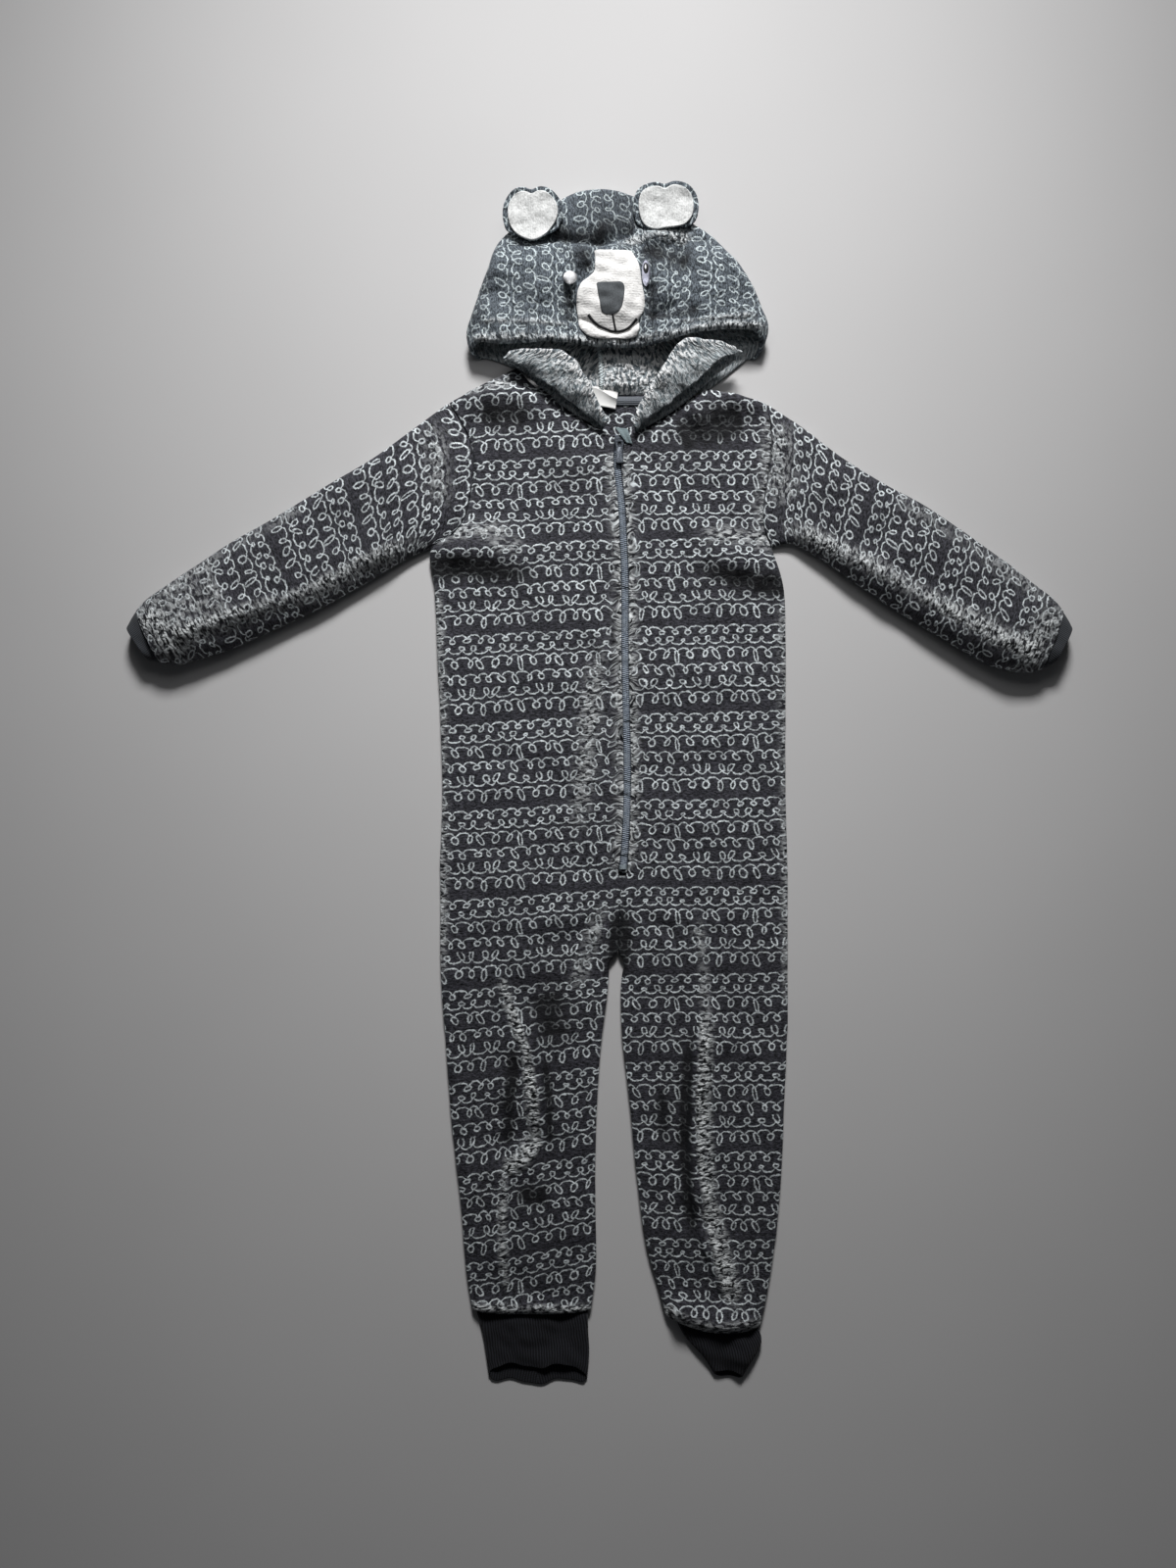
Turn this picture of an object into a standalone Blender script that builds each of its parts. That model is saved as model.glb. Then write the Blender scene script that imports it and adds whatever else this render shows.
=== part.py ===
"""A toddler's hooded fleece onesie with a bear's face and ears, laid flat on its back.

Right and left are the wearer's, so right is -X. +Y runs from the ankles to the hood and +Z up
from the floor. Sizes are in millimetres, and a mesh is made in metres.
"""

import math
from typing import NamedTuple

import bmesh
import bpy
import numpy as np

MM = 0.001
GARMENT = "hooded_onesie"

# Walls
FLEECE = 2.6
LINING = 2.0
BINDING = 1.4
RIB = 2.0
TAPE = 1.0
FELT = 1.2
LABEL = 0.6
SEAM = 0.3  # the gap between two pieces that are sewn together

# Where the walls lie
FLOOR_MID = FLEECE / 2
FRONT_MID = 1.5 * FLEECE + SEAM
EDGE_ROLL = 14.0  # how far in from a side the front climbs to its full height
CENTRING_Y = 7.9  # moves the whole garment so that its middle is the origin

# The zip
ZIP_OPEN = 10.0  # the strip of tape and coil that shows between the fronts
ZIP_UNDER = 9.0  # how far each tape runs on under its front
ZIP_HINGE_Y = 300.5

# The slider and its pull
SLIDER_WIDE, SLIDER_LONG, SLIDER_HIGH = 8.6, 12.0, 3.2
BAIL_WIDE, BAIL_LONG, BAIL_BAR, BAIL_CLEAR = 2.0, 7.6, 1.0, 2.4
BAIL_ROOT = 0.4  # how far the bail's legs run into the slider
PULL_WIDE, PULL_LONG, PULL_THICK = 6.8, 20.0, 1.3
PULL_EYE_WIDE, PULL_EYE_LONG = 3.2, 4.8


class Finish(NamedTuple):
    """How a material looks: its colour from 0 to 1, roughness and metallic value."""

    name: str
    colour: tuple
    roughness: float
    metallic: float = 0.0


PRINTED_FLEECE = Finish("printed_fleece", (0.075, 0.08, 0.095), 0.95)
WHITE_FLEECE = Finish("white_fleece", (0.8, 0.79, 0.77), 0.95)
DARK_RIB = Finish("dark_rib", (0.022, 0.023, 0.028), 0.9)
GREY_JERSEY = Finish("grey_jersey", (0.07, 0.075, 0.085), 0.85)
GREY_FELT = Finish("grey_felt", (0.075, 0.08, 0.083), 0.95)
GREY_TAPE = Finish("grey_tape", (0.06, 0.065, 0.072), 0.8)
PALE_RIBBON = Finish("pale_ribbon", (0.42, 0.47, 0.48), 0.7)
WHITE_LABEL = Finish("white_label", (0.78, 0.77, 0.73), 0.6)
ZIP_TAPE = Finish("zip_tape", (0.045, 0.05, 0.06), 0.8)
DARK_METAL = Finish("dark_metal", (0.09, 0.09, 0.1), 0.4, 0.8)


class BodyRow(NamedTuple):
    """A line across one half of the front, from its armhole or side to its neck, zip or inseam."""

    outer_x: float
    outer_y: float
    inner_x: float
    inner_y: float
    lift: float  # how far the front stands off the back here
    inner_lift: float  # the same at the inner edge
    bow: float = 0.0  # how far the line sags below a straight one


RIGHT_FRONT = (
    BodyRow(-134, 336, -74.0, 367, 0.3, 0.3),  # shoulder seam
    BodyRow(-120, 313, -55.0, 347, 1.4, 0.6),
    BodyRow(-112, 288, -31.0, 327, 1.9, 0.8),
    BodyRow(-113, 266, -8.0, 315, 2.2, 1.2),
    BodyRow(-116, 247, 12.5, 303, 2.6, 1.8),  # top of the zip
    BodyRow(-120, 232, 11.2, 280, 2.8, 1.9),
    BodyRow(-129, 219, 14.5, 248, 2.8, 1.9),
    BodyRow(-149, 205, 17.0, 206, 2.6, 1.9),  # underarm
    BodyRow(-147, 171, 18.0, 171, 2.6, 1.9),
    BodyRow(-145, 127, 18.0, 127, 2.8, 1.9),
    BodyRow(-142, 60, 19.0, 60, 2.8, 1.9),
    BodyRow(-140, -5, 20.0, -5, 2.8, 1.9),
    BodyRow(-141, -50, 18.5, -50, 2.8, 1.9),
    BodyRow(-142, -80, 16.5, -78, 2.6, 1.9),  # bottom of the zip
    BodyRow(-142, -104, 18.7, -100, 2.4, 1.6),
    BodyRow(-142, -128, 17.0, -127, 2.4, 0.0),  # crotch
    BodyRow(-142, -148, 10.0, -147, 2.4, 0.0),
    BodyRow(-141, -180, 8.0, -180, 2.4, 0.0),
    BodyRow(-136, -250, 0.0, -250, 2.6, 0.0),
    BodyRow(-132, -303, -3.0, -303, 3.0, 0.0),
    BodyRow(-124, -373, -4.0, -373, 3.0, 0.0),
    BodyRow(-118, -443, -4.0, -443, 3.0, 0.0),
    BodyRow(-113, -474, -8.0, -474, 2.4, 0.0, -3.0),  # hem
)

LEFT_FRONT = (
    BodyRow(149, 335, 96.0, 348, 0.3, 0.3),
    BodyRow(153, 313, 79.0, 334, 1.4, 0.6),
    BodyRow(153, 290, 60.0, 321, 1.9, 0.8),
    BodyRow(150, 268, 42.0, 311, 2.2, 1.2),
    BodyRow(147, 249, 23.0, 301, 2.6, 1.8),
    BodyRow(146, 236, 21.4, 278, 2.8, 1.9),
    BodyRow(147, 223, 24.6, 247, 2.8, 1.9),
    BodyRow(153, 206, 27.0, 206, 2.6, 1.9),
    BodyRow(164, 171, 28.0, 171, 2.6, 1.9),
    BodyRow(166, 127, 28.0, 127, 2.8, 1.9),
    BodyRow(166, 60, 29.0, 60, 2.8, 1.9),
    BodyRow(166, -5, 30.0, -5, 2.8, 1.9),
    BodyRow(167, -50, 28.5, -50, 2.8, 1.9),
    BodyRow(168, -80, 26.5, -78, 2.6, 1.9),
    BodyRow(168, -104, 19.4, -100, 2.4, 1.6),
    BodyRow(168, -128, 20.0, -127, 2.4, 0.0),
    BodyRow(168, -148, 25.0, -147, 2.4, 0.0),
    BodyRow(168, -180, 20.0, -180, 2.4, 0.0),
    BodyRow(168, -215, 20.0, -215, 2.6, 0.0),
    BodyRow(165, -285, 27.0, -285, 3.0, 0.0),
    BodyRow(162, -355, 34.0, -355, 3.2, 0.0),
    BodyRow(156, -420, 43.0, -418, 3.4, 0.0),
    BodyRow(149, -461, 54.0, -456, 3.4, 0.0, -3.0),
    BodyRow(143, -489, 60.0, -478, 2.8, 0.0, -9.5),
)
ZIP_TOP_ROW, UNDERARM_ROW, ZIP_END_ROW, CROTCH_ROW = 4, 7, 13, 15


class Fold(NamedTuple):
    """A soft ridge of the front between two places, or a trough if its height is negative."""

    start_x: float
    start_y: float
    end_x: float
    end_y: float
    width: float
    height: float


FOLDS = (
    Fold(-80, -205, -60, -322, 15, 5.0),  # down the right thigh and knee
    Fold(-70, -338, -62, -362, 20, 4.5),  # the right knee's bump
    Fold(90, -250, 83, -325, 16, 6.0),  # down the left thigh and knee
    Fold(84, -330, 108, -400, 22, 4.0),  # on down the left shin
    Fold(-135, 196, -50, 208, 11, 2.6),  # the overlap below each armpit
    Fold(158, 196, 95, 208, 11, 3.0),
    Fold(110, -470, 140, -478, 20, 4.0),  # the left hem's bulge over its cuff
)


class TubeRow(NamedTuple):
    """A ring of a sleeve or cuff, by the two edges that it shows from above."""

    upper_x: float
    upper_y: float
    lower_x: float
    lower_y: float
    drop: float  # its middle's height over the cloth on the floor
    rise: float  # its top's height over its middle
    tilt: float = 0.0  # how far its top leads its underside along Y
    bow: float = 0.0  # how far its line sags below a straight one


RIGHT_SLEEVE = (
    TubeRow(-134.5, 336, -149.6, 206, 1.8, 2.4),
    TubeRow(-165, 313, -163, 201, 3.0, 6.0),
    TubeRow(-200, 287, -183, 190, 4.0, 9.0),
    TubeRow(-245, 260, -213, 172, 4.5, 11.0),
    TubeRow(-290, 232, -253, 150, 5.0, 12.5),
    TubeRow(-328, 210, -292, 132, 5.5, 14.0),
    TubeRow(-362, 187, -330, 115, 6.0, 15.0),
    TubeRow(-390, 168, -358, 106, 7.0, 15.0),
    TubeRow(-403, 158, -377, 101, 8.0, 14.0),
    TubeRow(-411, 149, -389, 103, 8.5, 12.0),
)
LEFT_SLEEVE = (
    TubeRow(149.5, 335, 153.6, 207, 1.8, 2.4),
    TubeRow(179, 315, 171, 210, 3.0, 6.0),
    TubeRow(210, 291, 190, 201, 4.0, 9.0),
    TubeRow(250, 265, 224, 178, 4.5, 11.0),
    TubeRow(290, 243, 260, 153, 5.0, 12.5),
    TubeRow(328, 217, 296, 131, 5.5, 14.0),
    TubeRow(362, 192, 331, 110, 6.0, 15.0),
    TubeRow(390, 170, 360, 97, 7.0, 15.0),
    TubeRow(403, 159, 381, 94, 8.0, 14.0),
    TubeRow(411, 149, 392, 97, 8.5, 12.0),
)
RIGHT_BINDING = (
    TubeRow(-411.9, 147.8, -390.3, 104.2, 8.5, 10.5),
    TubeRow(-416, 141, -395, 104, 8.5, 10.2),
    TubeRow(-419.5, 134, -400, 105, 8.5, 9.8),
)
LEFT_BINDING = (
    TubeRow(411.9, 147.8, 393.3, 98.2, 8.5, 10.5),
    TubeRow(416, 141, 398, 99.5, 8.5, 10.2),
    TubeRow(419.5, 134, 403, 102, 8.5, 9.8),
)
RIGHT_ANKLE = (
    TubeRow(-112.0, -474.6, -10.0, -474.6, 1.8, 2.6, 0.0, -3.0),
    TubeRow(-105, -494, -10, -494, 2.0, 3.4, 2.0),
    TubeRow(-102, -512, -9, -512, 2.2, 4.2, 6.0),
    TubeRow(-99, -535, -11, -533, 2.4, 5.2, 16.0),
)
LEFT_ANKLE = (
    TubeRow(141.5, -491.4, 66.0, -483.0, 1.8, 3.6, 0.0, -9.0),
    TubeRow(145, -504, 77, -499, 3.5, 6.5, 2.0),
    TubeRow(138, -518, 91, -514, 5.0, 8.5, 4.0),
    TubeRow(128, -534, 103, -529, 6.5, 8.5, 6.0),
)


class Place(NamedTuple):
    """A place in plan."""

    x: float
    y: float


def armhole_of(rows):
    """The places down an armhole, which the front's outer edge follows to the underarm."""
    return [Place(row.outer_x, row.outer_y) for row in rows[: UNDERARM_ROW + 1]]


BACK_NECK = (
    Place(-74, 367),
    Place(-45, 352),
    Place(-7, 344.5),
    Place(17, 343.5),
    Place(40, 343.5),
    Place(70, 345),
    Place(96, 348),
)
# The hood's lower edge on the floor, from its right fold to its left one
HOOD_FOOT = (Place(-112, 379), Place(-92, 374), *BACK_NECK, Place(120, 366), Place(143, 384))
BRIM = (
    Place(-112, 389),
    Place(-96, 385),
    Place(-71, 384.5),
    Place(-44, 385.5),
    Place(-20, 384),
    Place(2, 382),
    Place(21, 381.5),
    Place(39, 383),
    Place(58, 386),
    Place(77, 392),
    Place(94, 395),
    Place(130, 397),
    Place(147, 396),
)
RIGHT_OUTLINE = (
    Place(-116, 385),
    Place(-118, 395),
    Place(-114, 410),
    Place(-109, 427),
    Place(-100, 451),
    Place(-88, 479),
    Place(-66, 497),
    Place(-46, 509),
)
LEFT_OUTLINE = (
    Place(147, 388),
    Place(150, 397),
    Place(146, 410),
    Place(133, 440),
    Place(119, 461),
    Place(96, 484),
    Place(68, 500),
    Place(46, 509),
)
RIGHT_HOOD_SEAM = (Place(-22, 382), Place(-25, 415), Place(-26, 455), Place(-32, 485), Place(-34, 524))
LEFT_HOOD_SEAM = (Place(46, 382), Place(47, 415), Place(45, 455), Place(38, 485), Place(34, 524))
RIGHT_NECK_SEAM = (Place(1, 343), Place(-33, 490), Place(-34, 524))
LEFT_NECK_SEAM = (Place(60, 343), Place(37.5, 490), Place(34, 524))

HOOD_TOP_Y = 509.0  # where each side of the hood ends, beside the crown
CROWN_Y, CROWN_BUMP = 514.0, 10.0
SNOUT_X, SNOUT_Y, SNOUT_WIDE, SNOUT_LONG, SNOUT_HIGH = 10.0, 408.0, 25.0, 25.0, 5.5
HOOD_MIDDLE_X, HOOD_HALF_WIDTH, HOOD_SIDE_DROP = 14.0, 130.0, 6.0


class Height(NamedTuple):
    """How high the hood's upper layer stands at one distance up it."""

    y: float
    z: float


HOOD_HEIGHTS = (
    Height(380, 26.5),
    Height(395, 28.5),
    Height(430, 27.5),
    Height(455, 27.5),
    Height(472, 21.0),
    Height(490, 19.5),
    Height(510, 17.0),
    Height(526, 15.0),
)


class HemRow(NamedTuple):
    """A section of the hood's front, which stands up from the neck seam and folds outward."""

    seam_x: float
    seam_y: float
    ridge_x: float
    ridge_y: float
    edge_x: float
    edge_y: float
    seam_z: float
    ridge_z: float
    edge_z: float


RIGHT_HOOD_HEM = (
    HemRow(3, 311.5, 8, 317, 5, 313.5, 4.2, 15.5, 12.0),
    HemRow(-6, 317.0, 1, 329, -4, 322.5, 4.2, 21.0, 15.0),
    HemRow(-18, 323.0, -6, 343, -13, 333, 4.2, 26.0, 17.5),
    HemRow(-32, 332.5, -14, 357, -23, 344, 4.2, 29.0, 18.5),
    HemRow(-44, 343.0, -22, 369, -36, 354, 4.2, 30.0, 19.0),
    HemRow(-56, 352.5, -37, 377, -50, 361, 4.6, 30.0, 19.0),
    HemRow(-68, 363.5, -57, 377, -66, 367, 6.5, 28.5, 19.5),
    HemRow(-84, 371.5, -78, 376, -84, 372, 12.5, 24.5, 19.5),
)
LEFT_HOOD_HEM = (
    HemRow(32, 308.5, 31, 314, 33, 310.5, 4.2, 15.5, 12.0),
    HemRow(43, 315.0, 34, 328, 40, 324, 4.2, 21.0, 15.0),
    HemRow(54, 321.0, 43, 343, 51, 337, 4.2, 26.0, 17.5),
    HemRow(66, 328.5, 53, 357, 64, 349, 4.2, 29.0, 18.5),
    HemRow(77, 336.5, 62, 373, 77, 361, 4.2, 30.0, 19.0),
    HemRow(88, 345.5, 75, 386, 90, 368, 4.6, 30.0, 19.0),
    HemRow(98, 354.5, 91, 386, 103, 371, 7.0, 28.5, 19.5),
    HemRow(122, 372.0, 119, 381, 126, 376, 12.5, 24.5, 19.5),
)


class PatchRow(NamedTuple):
    """A line across a piece sewn on the hood, from right to left."""

    y: float
    right_x: float
    left_x: float


FACE_ROWS = (
    PatchRow(383.5, 0, 24),
    PatchRow(386.0, -6, 31),
    PatchRow(391.0, -15, 35),
    PatchRow(399.0, -18, 35),
    PatchRow(408.0, -19, 39),
    PatchRow(420.0, -19, 40),
    PatchRow(430.0, -16, 38),
    PatchRow(438.0, -10, 37),
    PatchRow(448.0, -4, 35),
    PatchRow(456.0, -3, 32),
    PatchRow(461.0, -6, 30),
)
NOSE_ROWS = (
    PatchRow(404.5, 8, 13),
    PatchRow(407.5, 4, 18),
    PatchRow(413.0, 1.5, 20.5),
    PatchRow(420.0, 0, 21.5),
    PatchRow(427.0, -2, 22.5),
    PatchRow(430.0, -1.5, 22),
)


class Ear(NamedTuple):
    """An ear, by the middle of its round outline and the half sizes of its outline and lining."""

    x: float
    y: float
    half_wide: float
    half_long: float
    lining_wide: float
    lining_long: float


EARS = {"right": Ear(-57, 493, 26, 22, 21.5, 18.5), "left": Ear(60, 501, 27.5, 21, 23, 17.5)}
EAR_ROOT_Z, EAR_TIP_Z, EAR_HOLLOW = 21.6, 28.0, 1.4


class Track:
    """A smooth path through the rows of a table, whose first two columns are x and y."""

    def __init__(self, rows):
        self.rows = np.array(rows, float)
        steps = np.linalg.norm(np.diff(self.rows[:, :2], axis=0), axis=1)
        self.shares = np.concatenate([[0.0], np.cumsum(steps)]) / steps.sum()
        self.slopes = np.gradient(self.rows, self.shares, axis=0)

    def at(self, share):
        """The row at a share of the length from 0 to 1."""
        last = len(self.shares) - 2
        start = int(np.clip(np.searchsorted(self.shares, share, "right") - 1, 0, last))
        span = self.shares[start + 1] - self.shares[start]
        t = (share - self.shares[start]) / span
        ends = self.rows[start : start + 2]
        slopes = self.slopes[start : start + 2] * span
        return (
            (2 * t**3 - 3 * t**2 + 1) * ends[0]
            + (t**3 - 2 * t**2 + t) * slopes[0]
            + (3 * t**2 - 2 * t**3) * ends[1]
            + (t**3 - t**2) * slopes[1]
        )


def across(places, x):
    """The y of a path of places at an x, straight between them."""
    return float(np.interp(x, [p.x for p in places], [p.y for p in places]))


def along(places, y):
    """The x of a path of places at a y, straight between them."""
    return float(np.interp(y, [p.y for p in places], [p.x for p in places]))


def rolled(distance, reach):
    """The share of full height at a distance in from a rolled edge."""
    t = min(max(distance / reach, 0.0), 1.0)
    return math.sqrt(1 - (1 - t) ** 2)


# Meshes


def paint(target, finish):
    """Gives an object its own material."""
    material = bpy.data.materials.new(f"{target.name}_{finish.name}")
    material.use_nodes = True
    shader = material.node_tree.nodes["Principled BSDF"]
    shader.inputs["Base Color"].default_value = (*finish.colour, 1.0)
    shader.inputs["Roughness"].default_value = finish.roughness
    shader.inputs["Metallic"].default_value = finish.metallic
    material.diffuse_color = (*finish.colour, 1.0)
    target.data.materials.append(material)


def place(name, data, collection, finish):
    """Adds a mesh or curve to a collection as a painted object."""
    item = bpy.data.objects.new(name, data)
    item.location.y = CENTRING_Y * MM
    collection.objects.link(item)
    paint(item, finish)
    return item


def sheet(name, grid, wall, collection, finish, ring=False):
    """A cloth wall, half its thickness to each side of a grid of points."""
    rows, columns = grid.shape[:2]
    spans = columns if ring else columns - 1
    faces = []
    for row in range(rows - 1):
        for column in range(spans):
            beside = (column + 1) % columns
            low, high = row * columns, (row + 1) * columns
            faces.append((low + column, low + beside, high + beside, high + column))
    mesh = bpy.data.meshes.new(name)
    mesh.from_pydata((grid.reshape(-1, 3) * MM).tolist(), [], faces)
    mesh.shade_smooth()
    item = place(name, mesh, collection, finish)
    solid = item.modifiers.new("Wall", "SOLIDIFY")
    solid.thickness = wall * MM
    solid.offset = 0.0
    return item


def box_mesh(name, size, centre, bevel=0.0):
    """A box mesh in millimetres, with its edges rounded by bevel."""
    shape = bmesh.new()
    bmesh.ops.create_cube(shape, size=1.0)
    bmesh.ops.scale(shape, vec=[s * MM for s in size], verts=shape.verts)
    if bevel:
        bmesh.ops.bevel(
            shape, geom=shape.edges[:], offset=bevel * MM, segments=2, affect="EDGES", profile=0.5
        )
    bmesh.ops.translate(shape, vec=[c * MM for c in centre], verts=shape.verts)
    mesh = bpy.data.meshes.new(name)
    shape.to_mesh(mesh)
    shape.free()
    return mesh


def helper(name, mesh, collection, parent):
    """A cutter or an added block that a Boolean reads and no view shows."""
    item = bpy.data.objects.new(name, mesh)
    item.display_type = "WIRE"
    item.hide_render = True
    item.location = parent.location
    collection.objects.link(item)
    return item


def combine(target, tool, operation):
    """Joins or cuts a target with a helper."""
    boolean = target.modifiers.new(tool.name, "BOOLEAN")
    boolean.operation = operation
    boolean.object = tool


# Body


class Front:
    """One half of the front, whose points carry what is sewn on it or under it."""

    def __init__(self, rows):
        self.track = Track(rows)

    def share_of_row(self, row):
        """How far down the half one of its table's rows lies, from 0 to 1."""
        return self.track.shares[row]

    def point(self, down, inward, extra=0.0):
        """The middle of the wall at shares down and inward, moved further inward by extra."""
        row = BodyRow(*self.track.at(down))
        outer = np.array([row.outer_x, row.outer_y])
        inner = np.array([row.inner_x, row.inner_y])
        wide = np.linalg.norm(inner - outer)
        plan = outer + (inner - outer) * (inward + extra / wide)
        sag = max(math.sin(math.pi * min(inward, 1.0)), 0.0) ** 0.7
        plan[1] += row.bow * sag
        from_side = rolled(inward * wide, EDGE_ROLL)
        from_inner = rolled((1 - inward) * wide, EDGE_ROLL)
        lift = row.lift * from_side
        lift = row.inner_lift + (lift - row.inner_lift) * from_inner if inward > 0.5 else lift
        folds = sum(fold_height(fold, *plan) for fold in FOLDS)
        folds *= from_side * rolled((1 - inward) * wide, 2 * EDGE_ROLL)
        return np.array([*plan, FRONT_MID + lift + folds])


def fold_height(fold, x, y):
    """How far a fold raises the front at a place."""
    start = np.array([fold.start_x, fold.start_y])
    run = np.array([fold.end_x, fold.end_y]) - start
    share = float(np.clip(np.dot([x, y] - start, run) / np.dot(run, run), 0, 1))
    away = np.linalg.norm([x, y] - (start + run * share))
    return fold.height * math.exp(-((away / fold.width) ** 2))


ARMHOLE_ROWS, LOWER_ROWS = 9, 19
FRONT_COLUMNS = (0.0, 0.03, 0.1, 0.3, 0.5, 0.7, 0.9, 0.97, 1.0)


def downs_of(front):
    """The shares down a half at which it is cut, closer beside the armhole."""
    underarm = front.share_of_row(UNDERARM_ROW)
    upper = np.linspace(0, underarm, ARMHOLE_ROWS)
    return [*upper, *np.linspace(underarm, 1, LOWER_ROWS)[1:]]


def add_front(name, front, collection):
    """Half of the front, from the shoulder to the hem."""
    grid = np.array([[front.point(d, inward) for inward in FRONT_COLUMNS] for d in downs_of(front)])
    return sheet(name, grid, FLEECE, collection, PRINTED_FLEECE)


INSEAM_POINTS, HEM_POINTS = 12, 8


def half_outline(front):
    """The outer side and hem of one half of the back, then its inseam up to the crotch."""
    crotch = front.share_of_row(CROTCH_ROW)
    side = [front.point(down, 0.0)[:2] for down in downs_of(front)]
    hem = [front.point(1.0, inward)[:2] for inward in np.linspace(0, 1, HEM_POINTS)[1:-1]]
    inseam = [front.point(down, 1.0)[:2] for down in np.linspace(1, crotch + 0.01, INSEAM_POINTS)]
    return side + hem + inseam


def add_back(right, left, collection):
    """The back in one piece, flat on the floor, with the neck scooped at its top."""
    neck = [np.array([p.x, p.y - SEAM]) for p in BACK_NECK][1:-1]
    crotch = right.point(right.share_of_row(CROTCH_ROW), 1.0)[:2]
    outline = half_outline(right) + [crotch] + half_outline(left)[::-1] + neck[::-1]
    curve = bpy.data.curves.new("back", "CURVE")
    curve.dimensions = "2D"
    curve.fill_mode = "BOTH"
    curve.extrude = FLEECE / 2 * MM
    path = curve.splines.new("POLY")
    path.points.add(len(outline) - 1)
    for point, (x, y) in zip(path.points, outline):
        point.co = (x * MM, y * MM, 0.0, 1.0)
    path.use_cyclic_u = True
    back = place("back", curve, collection, PRINTED_FLEECE)
    back.location.z = FLOOR_MID * MM
    return back


# Sleeves and cuffs

RING_POINTS = 18
SLEEVE_RINGS, BINDING_RINGS, ANKLE_RINGS = 12, 3, 7
ARMHOLE_GAP = 0.9
RING_GAP = 0.1  # a ring lies this far above the floor
ARMHOLE_FADE = 0.22  # share of a sleeve over which its rings turn from the armhole to straight


def ring_shape(angle, row, wall):
    """A ring's height and the share across it, from its upper edge to its lower one."""
    share = 0.5 - 0.5 * math.copysign(abs(math.cos(angle)) ** 0.85, math.cos(angle))
    swing = math.sin(angle)
    middle = wall / 2 + row.drop + RING_GAP
    if swing >= 0:
        return share, middle + row.rise * swing**0.75
    return share, middle - row.drop * min(1.0, (1.8 * -swing) ** 0.6)


def tube_grid(rows, rings, wall, armhole=None):
    """The rings of a flattened tube. An armhole bends its first rings."""
    track = Track(rows)
    edge = Track(armhole) if armhole else None
    grid = np.zeros((rings, RING_POINTS, 3))
    for index, along_tube in enumerate(np.linspace(0, 1, rings)):
        row = TubeRow(*track.at(along_tube))
        upper = np.array([row.upper_x, row.upper_y])
        lower = np.array([row.lower_x, row.lower_y])
        inset = (lower - upper) / np.linalg.norm(lower - upper) * wall / 2
        upper, lower = upper + inset, lower - inset
        for step in range(RING_POINTS):
            share, height = ring_shape(math.tau * (step + 0.5) / RING_POINTS, row, wall)
            plan = upper + (lower - upper) * share
            plan[1] += row.bow * math.sin(math.pi * share) ** 0.7
            plan[1] += row.tilt * (height - wall / 2 - row.drop) / (row.drop + row.rise)
            if edge and along_tube < ARMHOLE_FADE:
                straight = edge.rows[0] + (edge.rows[-1] - edge.rows[0]) * share
                plan += (edge.at(share) - straight) * (1 - along_tube / ARMHOLE_FADE) ** 1.5
            if edge:
                plan[0] += math.copysign(ARMHOLE_GAP, plan[0]) * (1 - along_tube)
            grid[index, step] = (*plan, height)
    return grid


# Hood

SIDE_ROWS = 11
SIDE_UPPER = 6
SIDE_FOLD = 6
SIDE_LOWER = 4
FOLD_REACH, CROWN_REACH = 13.0, 9.0  # how far the turned-under cloth bulges past its layers' ends
CENTRE_COLUMNS = 7
CENTRE_UPPER = 14
CENTRE_FOLD = 6
CENTRE_LOWER = 6


def hood_height(x, y):
    """The middle of the wall of the hood's upper layer."""
    height = float(np.interp(y, [h.y for h in HOOD_HEIGHTS], [h.z for h in HOOD_HEIGHTS]))
    height -= HOOD_SIDE_DROP * ((x - HOOD_MIDDLE_X) / HOOD_HALF_WIDTH) ** 2
    snout = ((x - SNOUT_X) / SNOUT_WIDE) ** 2 + ((y - SNOUT_Y) / SNOUT_LONG) ** 2
    return height + SNOUT_HIGH * math.exp(-snout)


def half_turn(steps):
    """Angles of a fold, from the upper layer round to the lower one."""
    return [math.pi * (step + 1) / (steps + 1) for step in range(steps)]


def hood_side_row(share, outline, seam, neck_seam, sign):
    """One line round a side of the hood: over its top, round its fold and back along the floor."""
    outline_y = outline[0].y + (HOOD_TOP_Y - outline[0].y) * share
    fold_x = along(outline, outline_y) - sign * FLEECE / 2
    top_y = across(BRIM, seam[0].x) * (1 - share) + HOOD_TOP_Y * share
    seam_x = along(seam, top_y) + sign * SEAM
    reach = min(FOLD_REACH, 0.6 * abs(fold_x - seam_x))
    turn_x = fold_x - sign * reach
    line = []
    for step in range(SIDE_UPPER):
        x = seam_x + (turn_x - seam_x) * step / (SIDE_UPPER - 1)
        y = across(BRIM, x) * (1 - share) + HOOD_TOP_Y * share
        line.append((x, y, hood_height(x, y)))
    upper_y, upper_z = line[-1][1:]
    lower_y = across(HOOD_FOOT, turn_x) * (1 - share) + HOOD_TOP_Y * share
    half = (upper_z - FLOOR_MID) / 2
    for angle in half_turn(SIDE_FOLD):
        turned = (1 - math.cos(angle)) / 2
        x = turn_x + sign * reach * math.sin(angle)
        line.append((x, upper_y + (lower_y - upper_y) * turned, upper_z - 2 * half * turned))
    end_y = across(HOOD_FOOT, neck_seam[0].x) * (1 - share) + HOOD_TOP_Y * share
    end_x = along(neck_seam, end_y) + 2 * sign * SEAM
    for step in range(SIDE_LOWER):
        x = turn_x + (end_x - turn_x) * step / (SIDE_LOWER - 1)
        y = (across(HOOD_FOOT, x) + SEAM) * (1 - share) + HOOD_TOP_Y * share
        line.append((x, y, FLOOR_MID))
    return line


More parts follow.
